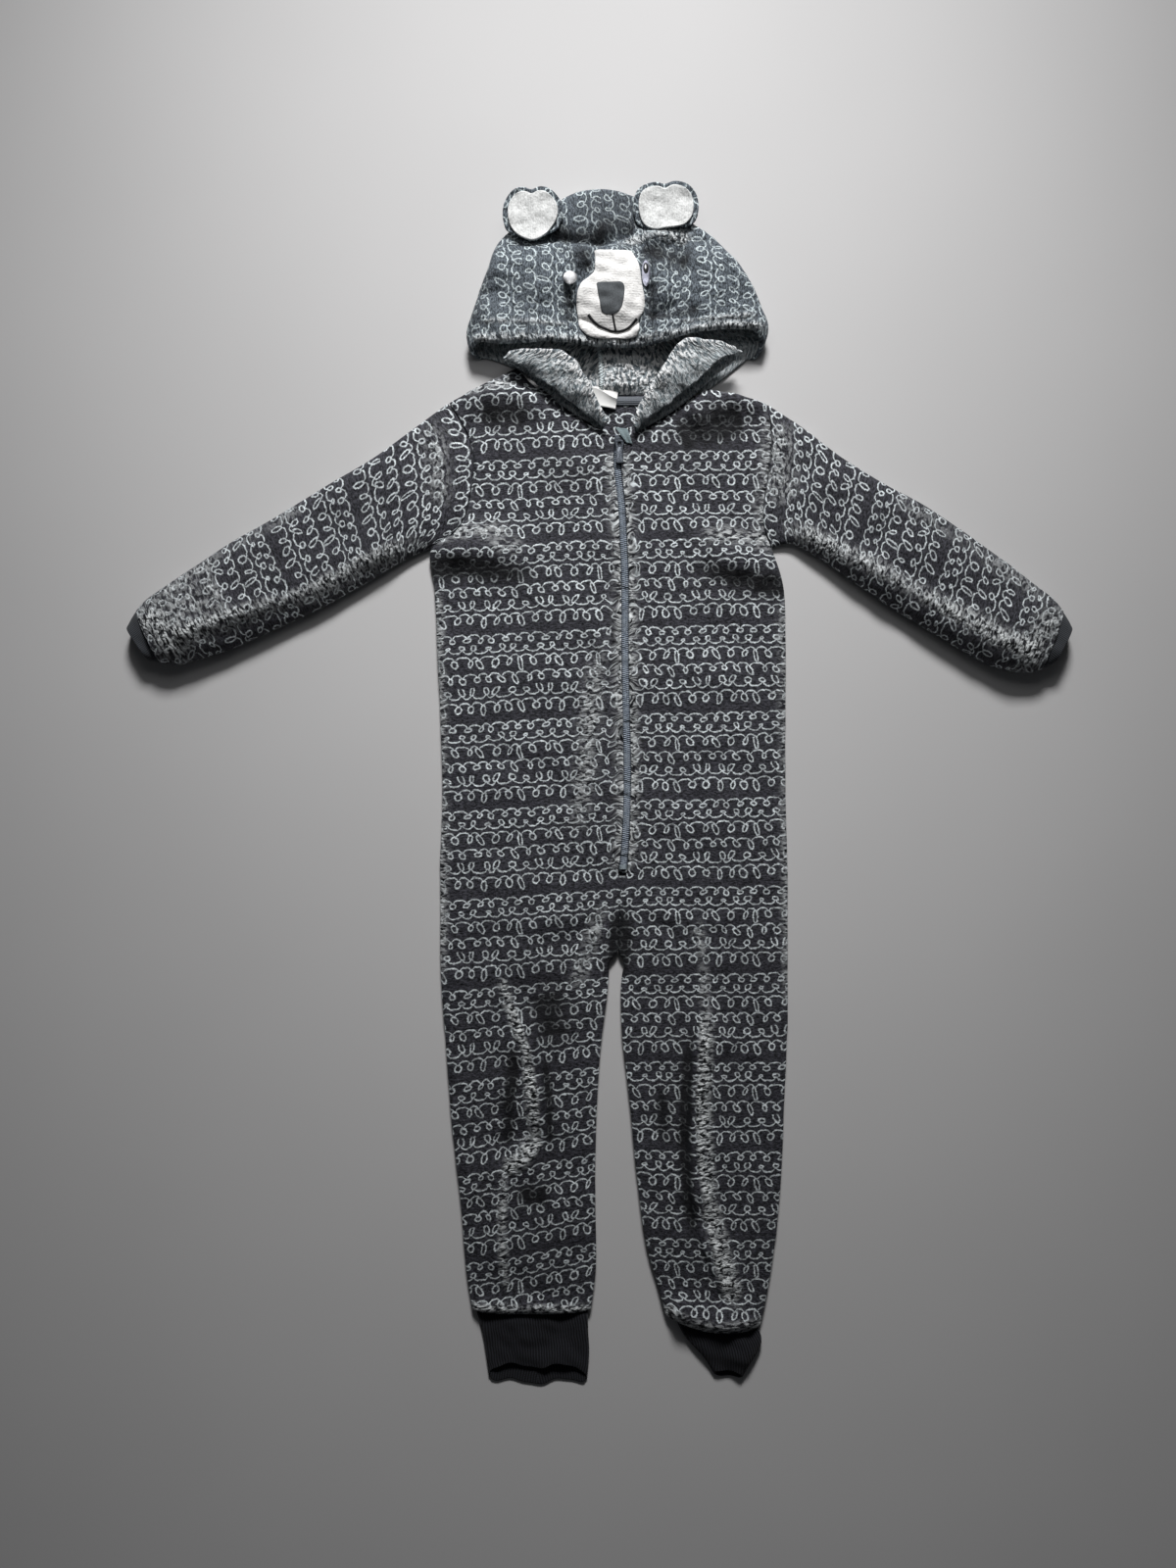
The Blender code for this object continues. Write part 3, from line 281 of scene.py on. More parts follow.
def smooth(knots: Array, points: Array, slopes: Array, at: Array) -> Array:
    """A smooth line through points, read at places along it.

    Args:
        knots: How far along each point is, rising.
        points: The points, or one coordinate of them.
        slopes: The line's slope at each.
        at: How far along it is read.

    Returns:
        The line's point at each.
    """
    start = np.clip(np.searchsorted(knots, at, "right") - 1, 0, len(knots) - 2)
    shape = np.shape(start) + (1,) * (points.ndim - 1)
    span = np.reshape(knots[start + 1] - knots[start], shape)
    t = np.reshape(at - knots[start], shape) / span
    low = (2 * t**3 - 3 * t**2 + 1) * points[start] + (t**3 - 2 * t**2 + t) * (slopes[start] * span)
    high = (3 * t**2 - 2 * t**3) * points[start + 1] + (t**3 - t**2) * (slopes[start + 1] * span)
    return low + high


class Track:
    """A smooth path through the rows of a table, read by the share of its length in plan."""

    def __init__(self, cells: Sequence[Sequence[float]]) -> None:
        """Measures the rows' spacing and the slope at each.

        Args:
            cells: The table's rows, whose first two columns are places.
        """
        self.rows = np.array(cells, float)
        reach = distances(self.rows[:, :2])
        self.shares = reach / reach[-1]
        self.slopes = np.gradient(self.rows, self.shares, axis=0)

    def at(self, share: Array | float) -> Array:
        """The table's columns at one share of the length or many."""
        return smooth(self.shares, self.rows, self.slopes, np.atleast_1d(np.asarray(share, float)))


def curve(value: Array | float, knots: Sequence[float], heights: Sequence[float]) -> Array:
    """A smooth line through points, read at values of its first coordinate.

    Args:
        value: Where to read it, held to the knots' range.
        knots: The points' first coordinate, rising.
        heights: Their second coordinate.

    Returns:
        The second coordinate at each value.
    """
    x, y = np.array(knots, float), np.array(heights, float)
    return smooth(x, y, np.gradient(y, x), np.clip(np.asarray(value, float), x[0], x[-1]))


def across(places: Sequence[Place], x: Array | float) -> Array:
    """The y of a path of places at an x."""
    return curve(x, [p.x for p in places], [p.y for p in places])


def along(places: Sequence[Place], y: Array | float) -> Array:
    """The x of a path of places at a y."""
    return curve(y, [p.y for p in places], [p.x for p in places])


def rolled(distance: Array, reach: float) -> Array:
    """The share of full height at a distance in from a rolled edge."""
    t = np.clip(distance / reach, 0.0, 1.0)
    return np.sqrt(1 - (1 - t) ** 2)


def eased(value: Array, low: float, high: float) -> Array:
    """0 at low, 1 at high, and a soft step between them."""
    t = np.clip((value - low) / (high - low), 0.0, 1.0)
    return t * t * (3 - 2 * t)


@dataclass(frozen=True)
class Ripples:
    """Low uneven waves that no cloth lies without.

    Args:
        height: How far they rise and fall.
        length: Their usual length.
        seed: Which of the endless layouts this is.
        waves: How many straight waves make them up.
    """

    height: float
    length: float
    seed: int
    waves: int = 14

    def at(self, x: Array, y: Array) -> Array:
        """The waves' height at places in plan.

        Args:
            x: The places' first coordinate.
            y: Their second.

        Returns:
            A height for each place.
        """
        draw = np.random.default_rng(self.seed)
        total = np.zeros(np.broadcast(x, y).shape)
        for _ in range(self.waves):
            turn, phase = draw.uniform(0, math.tau, 2)
            length = self.length * draw.uniform(0.6, 1.8)
            total += np.sin((x * math.cos(turn) + y * math.sin(turn)) * math.tau / length + phase)
        return total * self.height / math.sqrt(self.waves / 2)


@dataclass(frozen=True)
class Crease:
    """A soft ridge of the cloth along a line, or a trough where its height is negative.

    Args:
        path: Places along its line.
        height: How far it stands up.
        left: How wide it is on the left of the line, going along it.
        right: How wide it is on the right.
        fade: The share of its length at each end over which it dies away.
    """

    path: tuple[tuple[float, float], ...]
    height: float
    left: float
    right: float
    fade: float = 0.3

    def at(self, x: Array, y: Array) -> Array:
        """How far it lifts the cloth at places in plan.

        Args:
            x: The places' first coordinate.
            y: Their second.

        Returns:
            A height for each place.
        """
        points = np.array(self.path, float)
        lengths = np.linalg.norm(np.diff(points, axis=0), axis=1)
        nearest = np.full(np.shape(x), np.inf)
        side, share = np.zeros(np.shape(x)), np.zeros(np.shape(x))
        done = 0.0
        for start, end, length in zip(points, points[1:], lengths):
            way = (end - start) / length
            run = np.clip((x - start[0]) * way[0] + (y - start[1]) * way[1], 0, length)
            off_x, off_y = x - start[0] - way[0] * run, y - start[1] - way[1] * run
            away = np.hypot(off_x, off_y)
            closer = away < nearest
            nearest = np.where(closer, away, nearest)
            side = np.where(closer, way[0] * off_y - way[1] * off_x, side)
            share = np.where(closer, (done + run) / lengths.sum(), share)
            done += length
        wide = np.where(side > 0, self.left, self.right)
        ends = eased(share, -0.05, self.fade) * eased(1 - share, -0.05, self.fade)
        uneven = 1 + 0.16 * np.sin(share * 9.0 + self.height) + 0.1 * np.sin(share * 23.0)
        return self.height * ends * uneven * np.exp(-((nearest / wide) ** 2))


def relief(parts: Sequence[Crease | Ripples], x: Array, y: Array) -> Array:
    """The sum of creases and ripples at places in plan."""
    return sum((part.at(x, y) for part in parts), np.zeros(np.broadcast(x, y).shape))


# ------------ cloth as a mesh


@dataclass
class Sheet:
    """A piece of cloth as a grid, with a real wall and rounded edges.

    Args:
        points: Rows by columns of places in the middle of the wall.
        pattern: The same rows by columns of places on the print or weave.
        wall: The cloth's thickness.
        ring: Whether the last column lies on the first.
        inside_up: Whether the cloth's inside faces the way that the grid's normals point.
        nap_and_shade: The same rows by columns of how the pile lies: up to 1 ruffled, with a pale painted
            highlight, and below 0, down to -1, painted shade.
    """

    points: Array
    pattern: Array
    wall: float
    ring: bool = False
    inside_up: bool = False
    nap_and_shade: Array | float = 0.0

    EDGE_STEPS: ClassVar[tuple[float, ...]] = (0.12, 0.4, 0.8)

    def _lines(self, edge: Array, inner: Array) -> Array:
        """Some lines close to an open edge, where it is rounded."""
        gap = np.linalg.norm(inner[..., :3] - edge[..., :3], axis=-1, keepdims=True)
        near = np.minimum(self.wall / 2 / np.maximum(gap, 1e-6), 0.8)
        return np.array([edge + (inner - edge) * near * step for step in self.EDGE_STEPS])

    def _edged(self, data: Array) -> Array:
        """The rows with some more close to the first and the last."""
        first = self._lines(data[0], data[1])
        last = self._lines(data[-1], data[-2])[::-1]
        return np.concatenate([data[:1], first, data[1:-1], last, data[-1:]])

    def _thinned(self, points: Array) -> Array:
        """The share of the full wall at each place, which falls to nothing at an open edge.

        Args:
            points: The grid's places.

        Returns:
            A share for each, from 0 to 1.
        """
        share = np.ones(points.shape[:2])
        for axis in (0,) if self.ring else (0, 1):
            from_start = distances(points, axis)
            from_end = np.take(from_start, [-1], axis) - from_start
            share = np.minimum(share, rolled(np.minimum(from_start, from_end), self.wall / 2))
        return share

    def _normals(self, points: Array) -> Array:
        """The direction out of the wall at each place.

        Args:
            points: The grid's places.

        Returns:
            A direction of length 1 for each.
        """
        if self.ring:
            open_ring = points[:, :-1]
            beside = np.roll(open_ring, -1, 1) - np.roll(open_ring, 1, 1)
            beside = np.concatenate([beside, beside[:, :1]], 1)
        else:
            beside = np.gradient(points, axis=1)
        out = np.cross(beside, np.gradient(points, axis=0))
        length = np.linalg.norm(out, axis=-1, keepdims=True)
        return np.where(length > 1e-9, out / np.maximum(length, 1e-9), (0.0, 0.0, 1.0))

    def build(self, name: str) -> Piece:
        """Makes the closed mesh with its pattern as a UV map, in metres.

        Args:
            name: The piece's name.

        Returns:
            The piece, with its place in its mesh.
        """
        nap_and_shade = np.broadcast_to(self.nap_and_shade, self.points.shape[:2])[..., None]
        data = np.concatenate([self.points, self.pattern, nap_and_shade], -1)
        data = self._edged(data)
        if not self.ring:
            data = self._edged(data.transpose(1, 0, 2)).transpose(1, 0, 2)
        points, pattern, nap_and_shade = data[..., :3], data[..., 3:5], data[..., 5]
        half = self._normals(points) * (self._thinned(points) * self.wall / 2)[..., None]
        rows, columns = points.shape[:2]
        upper = np.arange(rows * columns).reshape(rows, columns)
        if self.ring:
            upper[:, -1] = upper[:, 0]
        lower = upper + rows * columns
        lower[0], lower[-1] = upper[0], upper[-1]
        if not self.ring:
            lower[:, 0], lower[:, -1] = upper[:, 0], upper[:, -1]
        corner = np.arange(rows * columns).reshape(rows, columns)

        def quads(index: Array) -> Array:
            """The four corners of every face of the grid."""
            around = (index[:-1, :-1], index[:-1, 1:], index[1:, 1:], index[1:, :-1])
            return np.stack(around, -1).reshape(-1, 4)

        faces = np.concatenate([quads(upper), quads(lower)[:, ::-1]])
        corners = np.concatenate([quads(corner), quads(corner)[:, ::-1]])
        places = np.concatenate([(points + half).reshape(-1, 3), (points - half).reshape(-1, 3)])
        if signed_volume(places, faces) < 0:
            faces, corners = faces[:, ::-1], corners[:, ::-1]
        nap_and_shade = np.tile(np.clip(nap_and_shade, -1.0, 1.0).ravel(), 2)
        piece = mesh_piece(name, places, faces, pattern.reshape(-1, 2)[corners.ravel()], nap_and_shade)
        half_faces = len(faces) // 2
        self.inside_faces = slice(0, half_faces) if self.inside_up else slice(half_faces, None)
        return piece

    def line_inside(self, piece: Piece, finish: "Finish") -> None:
        """Gives the cloth's inside a finish of its own.

        Args:
            piece: The built piece.
            finish: The inside's finish.
        """
        piece.data.materials.append(finish.material())
        slots = np.zeros(len(piece.data.polygons), np.int32)
        slots[self.inside_faces] = 1
        piece.data.polygons.foreach_set("material_index", slots)

    def area(self) -> float:
        """The cloth's own area, in square metres."""
        a, b = self.points[1:, 1:] - self.points[:-1, :-1], self.points[1:, :-1] - self.points[:-1, 1:]
        return float(np.linalg.norm(np.cross(a, b), axis=-1).sum() / 2 * MM * MM)


def signed_volume(places: Array, faces: Array) -> float:
    """The volume inside a closed mesh of four-sided faces, negative if they point inwards."""
    a, b, c, d = (places[faces[:, i]] for i in range(4))
    return float((a * np.cross(b, c)).sum() + (a * np.cross(c, d)).sum())


def mesh_piece(
    name: str, places: Array, faces: Array, pattern: Array, nap_and_shade: Array | None = None
) -> Piece:
    """Adds a mesh from places and faces in millimetres.

    Args:
        name: The piece's name.
        places: Places, in millimetres, in the tables' frame.
        faces: Rows of the places' numbers.
        pattern: Each face corner's place on the pattern.
        nap_and_shade: How the pile lies at each place: up to 1 ruffled, with a pale painted highlight, and
            below 0, down to -1, painted shade.

    Returns:
        The piece, linked to the scene.
    """
    used, compact = np.unique(faces, return_inverse=True)
    world = (places[used] + (0.0, CENTRING_Y, 0.0)) * MM
    mesh = bpy.data.meshes.new(name)
    mesh.from_pydata(world.tolist(), [], compact.reshape(faces.shape).tolist())
    layer = mesh.uv_layers.new(name="cloth")
    layer.data.foreach_set("uv", (pattern * MM).astype(np.float32).ravel())
    if nap_and_shade is not None:
        mesh.attributes.new("nap_and_shade", "FLOAT", "POINT").data.foreach_set("value", nap_and_shade[used])
    mesh.shade_smooth()
    mesh.update()
    piece = bpy.data.objects.new(name, mesh)
    bpy.context.scene.collection.objects.link(piece)
    return piece


# ------------ finishes


def linear(colour: str) -> tuple[float, float, float, float]:
    """The linear value of an sRGB colour written as hex.

    Args:
        colour: Six hex digits after a hash.

    Returns:
        Red, green, blue and an alpha of 1.
    """
    parts = [int(colour[start : start + 2], 16) / 255 for start in (1, 3, 5)]
    red, green, blue = (p / 12.92 if p <= 0.04045 else ((p + 0.055) / 1.055) ** 2.4 for p in parts)
    return (red, green, blue, 1.0)


class Kind(NamedTuple):
    """A kind of node: Blender's name, its setting, its inputs in order and its usual output."""

    node: str
    setting: str = ""
    value: str = ""
    inputs: tuple[int | str, ...] = (0, 1, 2, 3, 4)
    out: int | str = 0


PLUS, MINUS, TIMES, OVER, POWER, TIMES_PLUS, FLOORED = (
    Kind("ShaderNodeMath", "operation", name)
    for name in ("ADD", "SUBTRACT", "MULTIPLY", "DIVIDE", "POWER", "MULTIPLY_ADD", "FLOOR")
)
FRACTION, WRAPPED, SINE, SIZE, LEAST, MOST, IS_OVER = (
    Kind("ShaderNodeMath", "operation", name)
    for name in ("FRACT", "WRAP", "SINE", "ABSOLUTE", "MINIMUM", "MAXIMUM", "GREATER_THAN")
)
SCALED = Kind("ShaderNodeVectorMath", "operation", "SCALE", (0, "Scale"))
STRETCHED = Kind("ShaderNodeVectorMath", "operation", "MULTIPLY")
MOVED_BACK = Kind("ShaderNodeVectorMath", "operation", "SUBTRACT")
STRETCHED_PLUS = Kind("ShaderNodeVectorMath", "operation", "MULTIPLY_ADD")
LENGTH = Kind("ShaderNodeVectorMath", "operation", "LENGTH", out="Value")
NOISE = Kind("ShaderNodeTexNoise", inputs=("Vector", "Scale", "Detail", "Roughness", "Distortion"))
DICE = Kind("ShaderNodeTexWhiteNoise", "noise_dimensions", "2D", ("Vector",), "Value")
RANGE = Kind("ShaderNodeMapRange")
SOFT_RANGE = Kind("ShaderNodeMapRange", "interpolation_type", "SMOOTHSTEP")
BETWEEN = Kind("ShaderNodeMix", "data_type", "FLOAT", (0, 2, 3))
BLEND = Kind("ShaderNodeMix", "data_type", "RGBA", (0, 6, 7), 2)
BUMP = Kind("ShaderNodeBump", inputs=("Height", "Strength", "Distance"))
SPLIT, JOIN = Kind("ShaderNodeSeparateXYZ"), Kind("ShaderNodeCombineXYZ")
CHANNELS, RAMP = Kind("ShaderNodeSeparateColor"), Kind("ShaderNodeValToRGB")
CLOTH_PLACE = Kind("ShaderNodeUVMap", "uv_map", "cloth")
SPACE_PLACE = Kind("ShaderNodeTexCoord", out="Object")
NAP_AND_SHADE = Kind("ShaderNodeAttribute", "attribute_name", "nap_and_shade", out="Fac")


class Recipe:
    """A material while its nodes are put together."""

    def __init__(self, name: str) -> None:
        """Starts a material with only its shader."""
        self.material = bpy.data.materials.new(name)
        self.material.use_nodes = True
        self.nodes = self.material.node_tree.nodes

    def _fill(self, node: bpy.types.Node, wires: dict[int | str, Any]) -> None:
        """Sets or links inputs, each a number, a colour as hex or another node's output.

        Args:
            node: The node.
            wires: What each input is.
        """
        for key, value in wires.items():
            if isinstance(value, Socket):
                self.material.node_tree.links.new(value, node.inputs[key])
            else:
                node.inputs[key].default_value = linear(value) if isinstance(value, str) else value

    def add(self, kind: Kind, *wires: Any, out: int | str | None = None) -> Socket:
        """Adds a node with its settings and links.

        Args:
            kind: The kind of node.
            wires: What its inputs are, in order.
            out: Which output is wanted, if not the usual one.

        Returns:
            The wanted output.
        """
        node = self.nodes.new(kind.node)
        if kind.setting:
            setattr(node, kind.setting, kind.value)
        self._fill(node, dict(zip(kind.inputs, wires)))
        return node.outputs[kind.out if out is None else out]

    def finished(self, wires: dict[int | str, Any]) -> Material:
        """Sets and links the shader's own inputs, and gives the material."""
        self._fill(self.nodes["Principled BSDF"], wires)
        return self.material

    def cloth_mm(self) -> Socket:
        """The place on the cloth, in millimetres."""
        return self.add(SCALED, self.add(CLOTH_PLACE), 1 / MM)

    def space_mm(self) -> Socket:
        """The place in the garment's space, in millimetres."""
        return self.add(SCALED, self.add(SPACE_PLACE), 1 / MM)


@dataclass(frozen=True)
class Finish:
    """What a finish is called and how it takes the light.

    Args:
        name: The material's name.
        slot: The record's slot that it belongs to; not used.
        colour: Its main colour, as sRGB hex.
        second: Its other colour.
        roughness: How matt it is.
    """

    name: str
    slot: str
    colour: str
    second: str
    roughness: float = 0.9

    def mix(self, recipe: Recipe) -> Material:
        """Puts the material's nodes together."""
        raise NotImplementedError

    def as_cloth(
        self, recipe: Recipe, shade: Any, bump: Any, gloss: float, sheen: float, tint: str = "#ffffff"
    ) -> Material:
        """Finishes a material that takes the light as fibres do.

        Args:
            recipe: The material so far.
            shade: Its colour's output.
            bump: Its relief's output.
            gloss: How strongly it mirrors a light straight on.
            sheen: How much pale bloom its fibres give.
            tint: The bloom's colour.

        Returns:
            The material.
        """
        look = {"Base Color": shade, "Normal": bump, "Roughness": self.roughness, "IOR": 1.45}
        bloom = {"Sheen Weight": sheen, "Sheen Roughness": 0.5, "Sheen Tint": tint}
        return recipe.finished(look | bloom | {"Specular IOR Level": gloss})

    def material(self) -> Material:
        """The material, made once."""
        return bpy.data.materials.get(self.name) or self.mix(Recipe(self.name))

    def dress(self, piece: Piece) -> None:
        """Gives a piece this finish all over."""
        piece.data.materials.clear()
        piece.data.materials.append(self.material())


@dataclass(frozen=True)
class PrintedFleece(Finish):
    """Polyester coral fleece, dyed charcoal and printed with rows of a hand-drawn looping line.

    The pile breaks the line's edges and hides parts of it, and gives the cloth a dull pale bloom.

    Args:
        worn: How much of the print the pile hides, from 0 to 1.
        line: How wide the printed line is.
        ruffled: How far the pile is ruffled all over, from 0 to 1.
        tip: The pale colour that ruffled pile turns to, a painted highlight standing in for the light that
            raised tufts catch.
        root: The colour down between the tufts, which shows where the pile is parted, and the colour of the
            painted shade where the value is below 0.
        ink: The printed line's colour.
    """

    worn: float = 0.2
    line: float = 1.3
    ruffled: float = 0.0
    tip: str = "#f2f6f7"
    root: str = "#0c0c10"
    ink: str = "#f4fcff"

    REPEAT: ClassVar[float] = 77.6  # the print's height before it starts again
    LOOP: ClassVar[float] = 11.65  # from one loop to the next
    LOOPS: ClassVar[float] = 6.0  # loops before they start again
    NECK: ClassVar[float] = 2.4  # how far below its line a loop starts
    DIP: ClassVar[float] = 3.3  # how far the line comes down to meet it
    LONGEST: ClassVar[float] = 20.0  # over the reach of every loop
    SOFT: ClassVar[float] = 0.28  # half the width over which the ink's edge fades
    # Each row's band, from where it starts down the repeat: where its line runs, how far its loops
    # usually reach and how far the longest do, and whether they stand up from the line.
    ROWS: ClassVar[tuple[tuple[float, float, float, float, bool], ...]] = (
        (0.0, 1.6, 12.4, 17.0, False),
        (19.0, 20.4, 7.2, 8.0, False),
        (28.6, 36.4, 7.0, 7.7, True),
        (38.0, 40.0, 10.8, 13.2, False),
        (53.2, 54.6, 10.0, 11.0, False),
        (65.8, 75.4, 8.8, 9.8, True),
    )
    # How the hand strayed: the noise's scale and how far it moves the line across and down
    STRAYS: ClassVar[tuple[tuple[float, tuple[float, float, float]], ...]] = (
        (0.5, (1.2, 1.2, 0.0)),
        (0.045, (5.0, 3.6, 0.0)),
        (0.011, (0.0, 5.0, 0.0)),
    )

    def _place_drawn(self, recipe: Recipe, place: Socket) -> Socket:
        """The place on the cloth as the hand that drew the line strayed.

        Args:
            recipe: The material so far.
            place: The place.

        Returns:
            The place on the drawing.
        """
        total = place
        for scale, spread in self.STRAYS:
            stray = recipe.add(NOISE, place, scale, 1.0, out="Color")
            stray = recipe.add(MOVED_BACK, stray, (0.5, 0.5, 0.5))
            total = recipe.add(STRETCHED_PLUS, stray, spread, total)
        return total

    def _row_facts(self, recipe: Recipe, share: Socket) -> tuple[Socket, ...]:
        """What the table of rows says at a share of the repeat.

        Args:
            recipe: The material so far.
            share: How far down the repeat the place is, from 0 to 1.

        Returns:
            The line's place, its loops' usual and longest reach, the row's number, and 1 or -1 for loops
            that hang down or stand up.
        """
        add = recipe.add
        row = add(RAMP, share).node
        row.color_ramp.interpolation = "CONSTANT"
        stops = row.color_ramp.elements
        for index, (start, *_) in enumerate(self.ROWS):
            stop = stops[index] if index < 2 else stops.new(start / self.REPEAT)
            stop.position = start / self.REPEAT
        for index, (_, line, usual, most, up) in enumerate(self.ROWS):
            reaches = (usual / self.LONGEST, most / self.LONGEST)
            stops[index].color = (line / self.REPEAT, *reaches, (index + 1 + 0.5 * up) / 10)
        facts = add(CHANNELS, row.outputs[0]).node
        code = add(TIMES_PLUS, row.outputs[1], 10.0, 0.1)
        turn = add(TIMES_PLUS, add(IS_OVER, add(FRACTION, code), 0.4), -2.0, 1.0)
        return (*(facts.outputs[i] for i in range(3)), add(FLOORED, code), turn)

    def _distance(self, recipe: Recipe, place: Socket) -> Socket:
        """How far a place on the cloth is from the drawn line.

        Args:
            recipe: The material so far.
            place: The place.

        Returns:
            The distance.
        """
        add = recipe.add
        drawn = add(SPLIT, self._place_drawn(recipe, place)).node
        share = add(FRACTION, add(TIMES, drawn.outputs[1], -1 / self.REPEAT))
        line, usual, most, number, turn = self._row_facts(recipe, share)
        depth = add(TIMES, add(TIMES, add(MINUS, share, line), self.REPEAT), turn)
        run = add(OVER, add(TIMES_PLUS, number, 4.3, drawn.outputs[0]), self.LOOP)
        again = add(WRAPPED, add(FLOORED, run), self.LOOPS, 0.0)
        draw = add(DICE, add(JOIN, again, number)).node
        dice = add(CHANNELS, draw.outputs["Color"]).node
        beside = add(TIMES_PLUS, add(FRACTION, run), self.LOOP, -self.LOOP / 2)
        beside = add(PLUS, beside, add(TIMES_PLUS, dice.outputs[0], -4.0, 2.0))
        # the loop's half height, which reaches the row's full length at a few of its loops
        swell = add(TIMES, add(TIMES_PLUS, number, 1.7, again), math.tau / self.LOOPS)
        long = add(SOFT_RANGE, add(SINE, swell), 0.55, 0.95)
        small = add(RANGE, dice.outputs[1], 0.0, 0.75, 0.3 * self.LONGEST, 0.52 * self.LONGEST)
        tall = add(TIMES_PLUS, add(BETWEEN, long, usual, most), small, -self.NECK / 2)
        wide = add(TIMES_PLUS, long, -0.4, add(TIMES_PLUS, dice.outputs[2], 1.4, 1.6))
        rise = add(MINUS, depth, add(TIMES_PLUS, tall, 0.8, self.NECK + 0.9))
        lean = add(TIMES_PLUS, add(TIMES_PLUS, draw.outputs["Value"], 0.9, -0.5), rise, beside)
        across_loop, up_loop = add(OVER, lean, wide), add(OVER, rise, tall)
        reach = add(LENGTH, add(JOIN, across_loop, up_loop))
        steep = add(LENGTH, add(JOIN, add(OVER, across_loop, wide), add(OVER, up_loop, tall)))
        ring = add(TIMES, add(SIZE, add(MINUS, reach, 1.0)), reach)
        ring = add(OVER, ring, add(PLUS, steep, 0.01))
        arch = add(POWER, add(RANGE, add(SIZE, beside), 0.0, 5.4, 1.0, 0.0), 2.6)
        arch = add(SIZE, add(TIMES_PLUS, arch, -self.DIP, depth))
        return add(LEAST, ring, arch)

    def mix(self, recipe: Recipe) -> Material:
        """Puts the print, the pile's flecks and the bloom together.

        Args:
            recipe: The material, with its shader alone.

        Returns:
            The material.
        """
        add = recipe.add
        place = recipe.cloth_mm()
        # the pile's tufts are a little finer than this, which is as fine as shows from above
        fibres = add(NOISE, add(STRETCHED, place, (0.7, 1.5, 1.0)), 0.46, 3.0, 0.8)
        dark = add(RANGE, fibres, 0.4, 0.62)
        away = add(TIMES_PLUS, dark, -0.6, self._distance(recipe, place))
        half = self.line / 2 - 0.3
        ink = add(SOFT_RANGE, away, half + self.SOFT, half - self.SOFT)
        for scale, share in ((0.07, self.worn), (0.28, 0.4)):
            patches = add(RANGE, add(NOISE, place, scale, 2.0), 0.36, 0.6, 1 - share, 1.0)
            ink = add(TIMES, ink, patches)
        nap_and_shade = add(NAP_AND_SHADE)
        uneven = add(RANGE, add(NOISE, place, 0.12, 3.0), 0.36, 0.54, 0.4, 1.0)
        ruffled = add(MOST, add(TIMES, add(MOST, nap_and_shade, 0.0), uneven), self.ruffled)
        ink = add(TIMES, ink, add(TIMES_PLUS, ruffled, -0.8, 1.0))
        shade = add(BLEND, ink, add(BLEND, dark, self.colour, self.second), self.ink)
        tufts = add(NOISE, add(STRETCHED, place, (0.6, 1.3, 1.0)), 0.3, 2.5, 0.5, 0.5)
        # painted highlight: where the pile is ruffled, the colour turns to the pale tip colour, standing in
        # for the light that raised tufts catch
        tips = add(BLEND, add(RANGE, tufts, 0.44, 0.54), self.root, self.tip)
        shade = add(BLEND, ruffled, shade, tips)
        # painted shade: where the value is below 0, the colour is darkened towards the root colour in
        # hollows, creases and the crotch
        shade = add(BLEND, add(RANGE, nap_and_shade, 0.0, -1.0, 0.0, 0.92), shade, self.root)
        height = add(PLUS, add(NOISE, place, 0.24, 1.0), fibres)
        height = add(TIMES_PLUS, add(TIMES, ruffled, tufts), 3.2, height)
        return self.as_cloth(recipe, shade, add(BUMP, height, 1.0, 1.6 * MM), 0.3, 0.08, "#c9d2da")


@dataclass(frozen=True)
class PlainPile(Finish):
    """Undyed polyester fleece, whose short pile lies in faint rows along the knit.

    Args:
        row: From one row of the knit to the next.
        pile: How deep the pile's relief is.
        crushed: How much wear has pushed the pile this way and that.
    """

    row: float = 2.1
    pile: float = 1.0
    crushed: float = 0.45

    def mix(self, recipe: Recipe) -> Material:
        """Puts the pile's rows and its soft lumps together, the colour darker where they are low: partly
        random tone, partly painted shade.

        Args:
            recipe: The material, with its shader alone.

        Returns:
            The material.
        """
        add = recipe.add
        place = recipe.cloth_mm()
        rows_at = add(TIMES_PLUS, add(NOISE, place, 0.16, 2.0), 2.2, add(SPLIT, place).node.outputs[1])
        knit = add(SINE, add(TIMES, rows_at, math.tau / self.row))
        tufts = add(NOISE, add(STRETCHED, place, (0.8, 1.1, 1.0)), 0.6, 3.0)
        height = add(TIMES_PLUS, knit, 0.05, tufts)
        height = add(TIMES_PLUS, add(NOISE, place, 0.2, 2.0), self.crushed, height)
        middle = 0.48 * (1 + self.crushed)
        # partly random tone, partly painted shade: the colour falls to the darker second colour where the
        # relief is low
        shade = add(BLEND, add(RANGE, height, middle - 0.25, middle + 0.2), self.second, self.colour)
        return self.as_cloth(recipe, shade, add(BUMP, height, 0.6, self.pile * MM), 0.2, 0.15)


